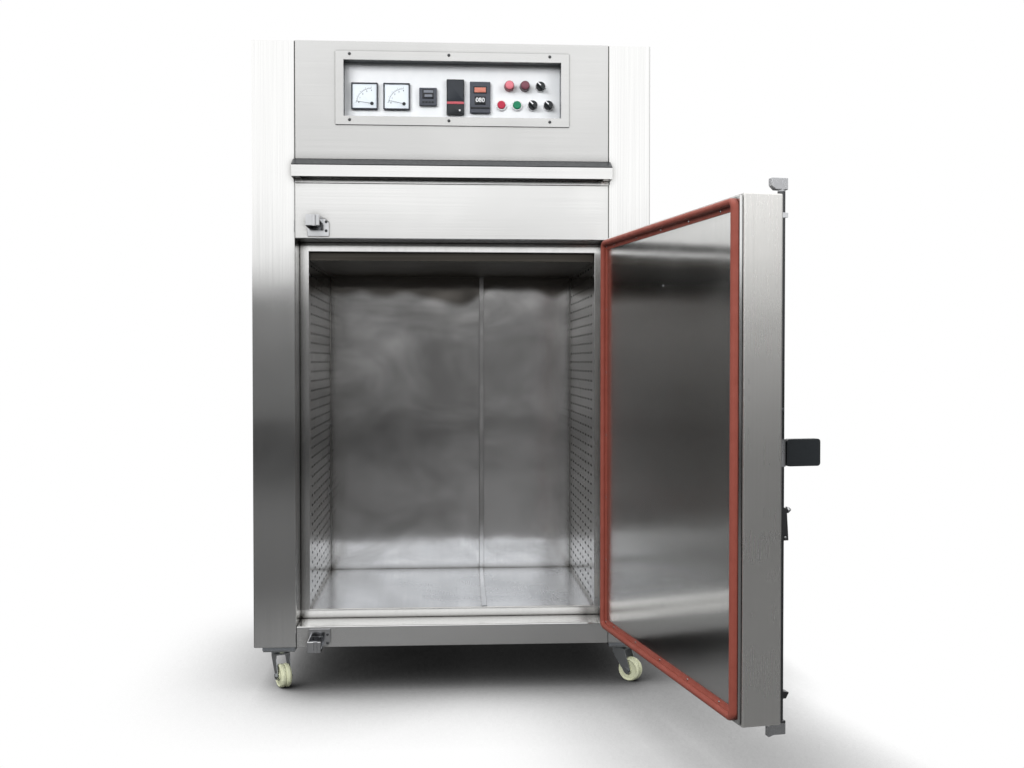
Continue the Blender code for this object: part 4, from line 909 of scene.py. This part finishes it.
plate("timer_window", "timer", 31, 26, 7, DARK_WINDOW)
for index, (width, up) in enumerate(((26, 13.5), (21, 2))):
    plate("timer_display_%d" % index, "timer", width, 7, up, GREY_KEYS, right=1, thick=0.5,
          corner=0.6, out=PROUD)
for index in range(4):
    plate("timer_key_%d" % index, "timer", 6.5, 5, -15, BLACK_ABS,
          right=(index - 1.5) * KEY_PITCH, thick=1, corner=1.2)
node = "limit_controller"
plate("limit_window", node, 42, 54, 18, SMOKED_COVER)
plate("limit_stripe", node, 47, 6.5, -16, RED_STRIPE, thick=0.9, corner=0.6)
plate("limit_flap", node, 42, 24, -33, BLACK_ABS)
keep("limit_lamp", turned([(2.6 * MM, 0), (2.6 * MM, 0.8 * MM), (1.8 * MM, 1.5 * MM),
                           (0.3 * MM, 1.8 * MM)], 20), WHITE_INK, "cabinet",
     front_of(node, 11.6 * MM, -36.6 * MM, PROUD * MM))
node = "temperature_controller"
for name, width, height, up in (("display_frame", 37, 19.5, 20), ("digit_frame", 30, 23, -9),
                                ("lower_slot", 52, 5.5, -29)):
    plate("controller_" + name, node, width, height, up, DARK_WINDOW, thick=0.9, corner=1.2,
          out=-0.3)
plate("controller_display", node, 31, 13.5, 20, RED_WINDOW, thick=0.5, out=PROUD)
for index, number in enumerate(WHEEL_DIGITS):
    right = (index - 1) * WHEEL_PITCH
    plate("digit_wheel_%d" % index, node, 7.6, 17, WHEEL_RISE, BLACK_ABS, right=right, corner=0.8,
          out=0.3)
    digit("wheel_digit_%d" % index, number, 12 * MM, WHITE_INK, "cabinet",
          front_of(node, right * MM, WHEEL_RISE * MM, 1.2 * MM))
print("wheels in the digit switch:", len(WHEEL_DIGITS))

# %% [markdown]
# A lamp's lens is turned with shallow ridges, which break its highlight into rings. Buttons and
# selectors are clamped to the tray by polished rings. Each selector has a white line inlaid in
# its knob, and that line rides on the knob's own body, so that it turns with it.

# %% Lamps, button rings and pointers
LENS_SHARE = 0.77
LENS_RIDGE = 0.25 * MM
for node, lens_finish in (("power_lamp", PINK_LENS), ("alarm_lamp", PLUM_LENS)):
    low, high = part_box(node)
    half = (high.x - low.x) / 2
    radius = half * LENS_SHARE
    dome = [(radius, -0.6 * MM), (radius, 0.3 * MM)]
    for step in range(1, 9):
        angle = step / 9 * math.pi / 2
        ridge = LENS_RIDGE * (step % 2)
        dome.append((radius * math.cos(angle) ** 0.7 + 0.2 * MM,
                     (0.3 + 2.2 * math.sin(angle)) * MM + ridge))
    keep(node + "_lens", turned(dome, 40), lens_finish, "cabinet", front_of(node))
SELECTORS = ("upper_selector", "lower_selector", "right_selector")
BUTTONS = {"red_button": RED_CAP, "green_button": GREEN_CAP}
RING_DEEP = 6.0 * MM
RING_RADIUS = 14.8 * MM
BUTTON_BORE = 11.4 * MM
SELECTOR_BORE = 12.9 * MM
TRAY_THICK = 2 * MM
tray_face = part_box("instrument_tray")[1].y - TRAY_THICK
for node in (*BUTTONS, *SELECTORS):
    low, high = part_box(node)
    middle = (low + high) / 2
    ring_wall = RING_RADIUS - (BUTTON_BORE if node in BUTTONS else SELECTOR_BORE)
    ring = stacked(RING_RADIUS, RING_RADIUS, RING_RADIUS,
                   [(0, -0.5 * MM), (0, RING_DEEP - 0.8 * MM), (0.4 * MM, RING_DEEP + 0.2 * MM),
                    (1.1 * MM, RING_DEEP + 0.4 * MM), (ring_wall, RING_DEEP + 0.1 * MM),
                    (ring_wall, RING_DEEP - 1.0 * MM)], closed=True)
    keep(node + "_ring", ring, WHITE_RING, "cabinet",
         facing((middle.x, tray_face, middle.z), TO_VIEWER))
POINTER_TURN = Matrix.Rotation(math.radians(-45), 4, "Y")
for name in SELECTORS:
    low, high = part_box(name)
    middle = (low + high) / 2
    place = (Matrix.Translation((middle.x, low.y, middle.z)) @ POINTER_TURN
             @ facing((0, 0, 0), TO_VIEWER))
    keep(name + "_pointer", strip([(0, 0.5 * MM), (0, 11.2 * MM)], 3.4 * MM, 0.3 * MM), WHITE_INK,
         name + "_knob", place)
for node, cap_finish in BUTTONS.items():
    low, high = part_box(node)
    half = (high.x - low.x) / 2
    keep(node + "_face", turned([(half * 0.97, -0.4 * MM), (half * 0.97, 0.0), (half * 0.86, 0.6 * MM),
                                 (half * 0.6, 0.35 * MM), (half * 0.1, 0.25 * MM)], 36),
         cap_finish, node.replace("button", "push_button"), front_of(node))
print("pointers set")

# %% [markdown]
# Six blackened screws hold the bezel, three above and three below, at the places seen in the
# photo. Each keeper has two bright ones through its flange, beside the cup.

# %% Panel and keeper screws
BEZEL_SCREWS_X = (-278 * MM, -11 * MM, 263 * MM)
BEZEL_SCREW_DROP = 8 * MM
BEZEL_SCREW_RISE = 13.5 * MM
KEEPER_SCREW_EDGE = 8 * MM
KEEPER_FLANGE = 3.2 * MM
low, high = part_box("control_bezel")
for x in BEZEL_SCREWS_X:
    for z in (high.z - BEZEL_SCREW_DROP, low.z + BEZEL_SCREW_RISE):
        screw(M4_HEAD, ((low.x + high.x) / 2 + x, low.y, z), TO_VIEWER, "cabinet", DARK_SCREW)
for node, end, rises in (("upper_keeper", 1, (-14, -38)), ("lower_keeper", 0, (38, 15))):
    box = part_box(node)
    for rise in rises:
        place = (box[1].x - KEEPER_SCREW_EDGE, box[1].y - KEEPER_FLANGE, box[end].z + rise * MM)
        screw(M4_HEAD, place, TO_VIEWER, "cabinet")
print("screws so far:", len(SCREWS))

# %% [markdown]
# One bolt clamps the grip's hub to the rod, and it turns with the lock. A small screw fixes the
# catch plate to the door's edge. The plate also carries the hexagonal cone nut that shows beside
# the rod in the photo; a turned profile with six steps gives its flats.

# %% Fittings of the rod lock
GRIP_BOLT_HEIGHT = 0.799
LOCK_AXIS = UNDO_SWING @ Vector(JOINTS["lock_turn"]["pos_m"])
plate_low, plate_high = shut_box("lock_catch_plate")
ROD_SIDE = 8 * MM
BOLT_SEAT = 0.3 * MM
PLATE_SCREW_RISE = 6 * MM
CONE_NUT_DROP = 5 * MM
TO_SIDE = (-1, 0, 0)
screw(M4_HEAD, (LOCK_AXIS.x - ROD_SIDE + BOLT_SEAT, LOCK_AXIS.y, GRIP_BOLT_HEIGHT), TO_SIDE,
      "lock", swing=DOOR_PLACE)
screw(M3_HEAD, (plate_low.x, (plate_low.y + LOCK_AXIS.y) / 2, plate_low.z + PLATE_SCREW_RISE),
      TO_SIDE, "door", swing=DOOR_PLACE)
keep("lock_cone_nut", turned([(6.5 * MM, 0), (7.4 * MM, 1.0 * MM), (7.4 * MM, 3.0 * MM),
                              (2.2 * MM, 9.6 * MM), (0.8 * MM, 10.4 * MM)], 6), CHROME, "door",
     DOOR_PLACE @ facing((LOCK_AXIS.x, plate_low.y, plate_high.z - CONE_NUT_DROP), TO_VIEWER), 20)
print("lock axis:", [round(c, 4) for c in LOCK_AXIS])

# %% [markdown]
# The hinges' screws are hidden in the photo, so their places are a guess: four through each strap
# into the door, two through each post into the side casing. They sit on the 8 mm leaves.

# %% Hinge screws
HINGE_LEAF = 8 * MM
HINGE_SCREW_END = 14 * MM
STRAP_SCREWS_X = (12 * MM, 46 * MM)
POST_SCREW_EDGE = 11 * MM
leaf_face = shut_box("door_slab")[0].y - HINGE_LEAF
post_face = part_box("left_side_casing")[0].y - HINGE_LEAF
for level in ("upper", "lower"):
    low, high = shut_box(level + "_hinge_strap")
    post_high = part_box(level + "_hinge_post")[1]
    for z in (low.z + HINGE_SCREW_END, high.z - HINGE_SCREW_END):
        for x in STRAP_SCREWS_X:
            screw(M4_HEAD, (low.x + x, leaf_face, z), TO_VIEWER, "door", swing=DOOR_PLACE)
        screw(M4_HEAD, (post_high.x - POST_SCREW_EDGE, post_face, z), TO_VIEWER, "cabinet")
print("screws in all:", len(SCREWS))

# %% [markdown]
# The photo's background is plain white with a soft shade under the oven. So the camera sees a
# white floor that is only darkened by nearness: ambient occlusion, leaned to the left, which draws
# the shade out to the right, under the open door. Every other ray meets a dark grey floor that
# falls off with distance, because that is what the lower half of the polished sheet mirrors.

# %% Floor
FLOOR_RADIUS = 14.0
SHADE_REACH = 0.5
SHADE_LEAN = (-0.55, 0.0, 0.85)
SHADE_POWER = 2.8
NEAR_TONE = 0.16
FAR_TONE = 0.07
FALL_OFF = (0.5, 1.7)


def disc(name, radius, sides=96):
    """Flat round sheet on the ground."""
    mesh = bpy.data.meshes.new(name)
    shape = bmesh.new()
    bmesh.ops.create_circle(shape, cap_ends=True, segments=sides, radius=radius)
    shape.to_mesh(mesh)
    shape.free()
    obj = bpy.data.objects.new(name, mesh)
    bpy.context.scene.collection.objects.link(obj)
    return obj


def grey(value):
    """Linear RGBA of one grey level."""
    return (value, value, value, 1.0)


floor = disc("studio_floor", FLOOR_RADIUS)
floor_mat = bpy.data.materials.new("studio_floor_matt_paint")
floor_mat.use_nodes = True
tree = floor_mat.node_tree
tree.nodes.remove(tree.nodes["Principled BSDF"])
output = tree.nodes["Material Output"]
path = add(tree, "ShaderNodeLightPath")
place = add(tree, "ShaderNodeTexCoord")
reach = add(tree, "ShaderNodeVectorMath", props={"operation": "LENGTH"},
            links={0: place.outputs["Object"]})
far = add(tree, "ShaderNodeMapRange", props={"interpolation_type": "SMOOTHSTEP"},
          values=dict(zip(("From Min", "From Max"), FALL_OFF)),
          links={"Value": reach.outputs["Value"]})
tone = add(tree, "ShaderNodeMix", props={"data_type": "RGBA"},
           values={"A": grey(NEAR_TONE), "B": grey(FAR_TONE)},
           links={"Factor": far.outputs["Result"]})
lean = add(tree, "ShaderNodeCombineXYZ", values=dict(zip("XYZ", SHADE_LEAN)))
near = add(tree, "ShaderNodeAmbientOcclusion", props={"samples": 16},
           values={"Distance": SHADE_REACH}, links={"Normal": lean.outputs["Vector"]})
depth = add(tree, "ShaderNodeMath", props={"operation": "POWER"}, values={1: SHADE_POWER},
            links={0: near.outputs["AO"]})
seen = add(tree, "ShaderNodeEmission", values={"Strength": 1.0}, links={"Color": depth.outputs[0]})
other = add(tree, "ShaderNodeBsdfDiffuse", links={"Color": tone.outputs[2]})
both = add(tree, "ShaderNodeMixShader", links={0: path.outputs["Is Camera Ray"],
                                               1: other.outputs[0], 2: seen.outputs[0]})
tree.links.new(both.outputs[0], output.inputs["Surface"])
floor.data.materials.append(floor_mat)
print("floor radius:", FLOOR_RADIUS, "m")

# %% [markdown]
# Bare steel shows mostly what it reflects. The room is bright above eye level and dim below it,
# so the upper half of the oven comes out nearly white and the lower half mid grey. Mirror rays and
# matt rays get their own ramps over height, and both are dimmed towards the far right, so that
# steel looking that way keeps some tone. The camera itself sees plain white.

# %% World
SIDE_START = 0.55
SIDE_END = 0.9
SIDE_TONE = 0.4
MIRROR_TONES = ((0.00, 0.15), (0.25, 0.15), (0.39, 0.17), (0.45, 0.95), (0.50, 1.22), (1.0, 1.22))
MATT_TONES = ((0.00, 0.04), (0.35, 0.08), (0.55, 0.55), (0.75, 0.90), (0.90, 1.0), (1.0, 1.0))
world = bpy.data.worlds.new("studio_surround")
bpy.context.scene.world = world
world.use_nodes = True
tree = world.node_tree
tree.nodes.clear()
path = add(tree, "ShaderNodeLightPath")
place = add(tree, "ShaderNodeTexCoord")
split = add(tree, "ShaderNodeSeparateXYZ", links={0: place.outputs["Generated"]})


def sky(tones, lowest, highest):
    """Background whose strength follows the height of the ray's direction."""
    top = max(value for position, value in tones)
    level = add(tree, "ShaderNodeMapRange", values={"From Min": lowest, "From Max": highest},
                links={"Value": split.outputs["Z"]})
    ramp = add(tree, "ShaderNodeValToRGB", links={"Fac": level.outputs["Result"]})
    stops = ramp.color_ramp.elements
    while len(stops) < len(tones):
        stops.new(0.5)
    for stop, (position, value) in zip(stops, tones):
        stop.position = position
        stop.color = grey(value / top)
    sides = add(tree, "ShaderNodeMapRange", values={"From Min": SIDE_START, "From Max": SIDE_END,
                                                    "To Min": 1.0, "To Max": SIDE_TONE},
                links={"Value": split.outputs["X"]})
    toned = add(tree, "ShaderNodeVectorMath", props={"operation": "SCALE"},
                links={0: ramp.outputs["Color"], "Scale": sides.outputs["Result"]})
    return add(tree, "ShaderNodeBackground", values={"Strength": top},
               links={"Color": toned.outputs["Vector"]})


mirrored = sky(MIRROR_TONES, -0.10, 0.30)
even = sky(MATT_TONES, -0.20, 1.0)
white = add(tree, "ShaderNodeBackground", values={"Color": grey(1.0), "Strength": 1.0})
unseen = add(tree, "ShaderNodeMixShader", links={0: path.outputs["Is Glossy Ray"],
                                                 1: even.outputs[0], 2: mirrored.outputs[0]})
pick = add(tree, "ShaderNodeMixShader", links={0: path.outputs["Is Camera Ray"],
                                               1: unseen.outputs[0], 2: white.outputs[0]})
add(tree, "ShaderNodeOutputWorld", links={"Surface": pick.outputs[0]})
print("surround steps:", len(MIRROR_TONES))

# %% [markdown]
# Three large soft boxes give the matt parts their shape: a key from the upper left, a weaker fill
# from the right and one overhead. They are hidden from mirror rays, so that no bright rectangle
# shows in the polished sheet.

# %% Soft boxes


def soft_box(name, place, aim, width, height, power):
    """Large area light aimed at a point; polished sheet mirrors the surround instead of it."""
    light = bpy.data.lights.new(name, "AREA")
    light.shape = "RECTANGLE"
    light.size = width
    light.size_y = height
    light.energy = power
    lamp = bpy.data.objects.new(name, light)
    bpy.context.scene.collection.objects.link(lamp)
    lamp.location = place
    lamp.visible_glossy = False
    lamp.rotation_euler = (Vector(aim) - Vector(place)).to_track_quat("-Z", "Y").to_euler()


soft_box("key_soft_box", (-2.6, -4.2, 3.2), (0, 0, 1.0), 3.0, 2.2, 240)
soft_box("fill_soft_box", (3.4, -3.4, 2.8), (0, 0, 0.9), 2.2, 2.0, 100)
soft_box("top_soft_box", (0.2, 0.4, 4.2), (0.1, 0.0, 0.0), 3.4, 3.0, 130)
print("soft boxes:", len(bpy.data.lights))

# %% [markdown]
# The camera stands a little left of the middle, at chest height, and looks slightly to the
# right, as in the photograph. Its lens follows from the focal length fitted in pixels.

# %% Camera
FOCAL_PIXELS = 1126.6
PICTURE_WIDTH = 1024
SENSOR = 36.0
CAMERA_PLACE = (-0.1299, -3.0084, 0.8959)
LOOK_DOWN = 1.127
LOOK_RIGHT = 3.5805
camera_data = bpy.data.cameras.new("camera")
camera_data.sensor_width = SENSOR
camera_data.sensor_fit = "HORIZONTAL"
camera_data.lens = FOCAL_PIXELS * SENSOR / PICTURE_WIDTH
camera_data.clip_start = 0.05
camera = bpy.data.objects.new("camera", camera_data)
bpy.context.scene.collection.objects.link(camera)
camera.location = CAMERA_PLACE
camera.rotation_euler = (math.radians(90 - LOOK_DOWN), 0, math.radians(-LOOK_RIGHT))
bpy.context.scene.camera = camera
bpy.context.scene.view_settings.view_transform = "Standard"
print("lens:", round(camera_data.lens, 2), "mm")
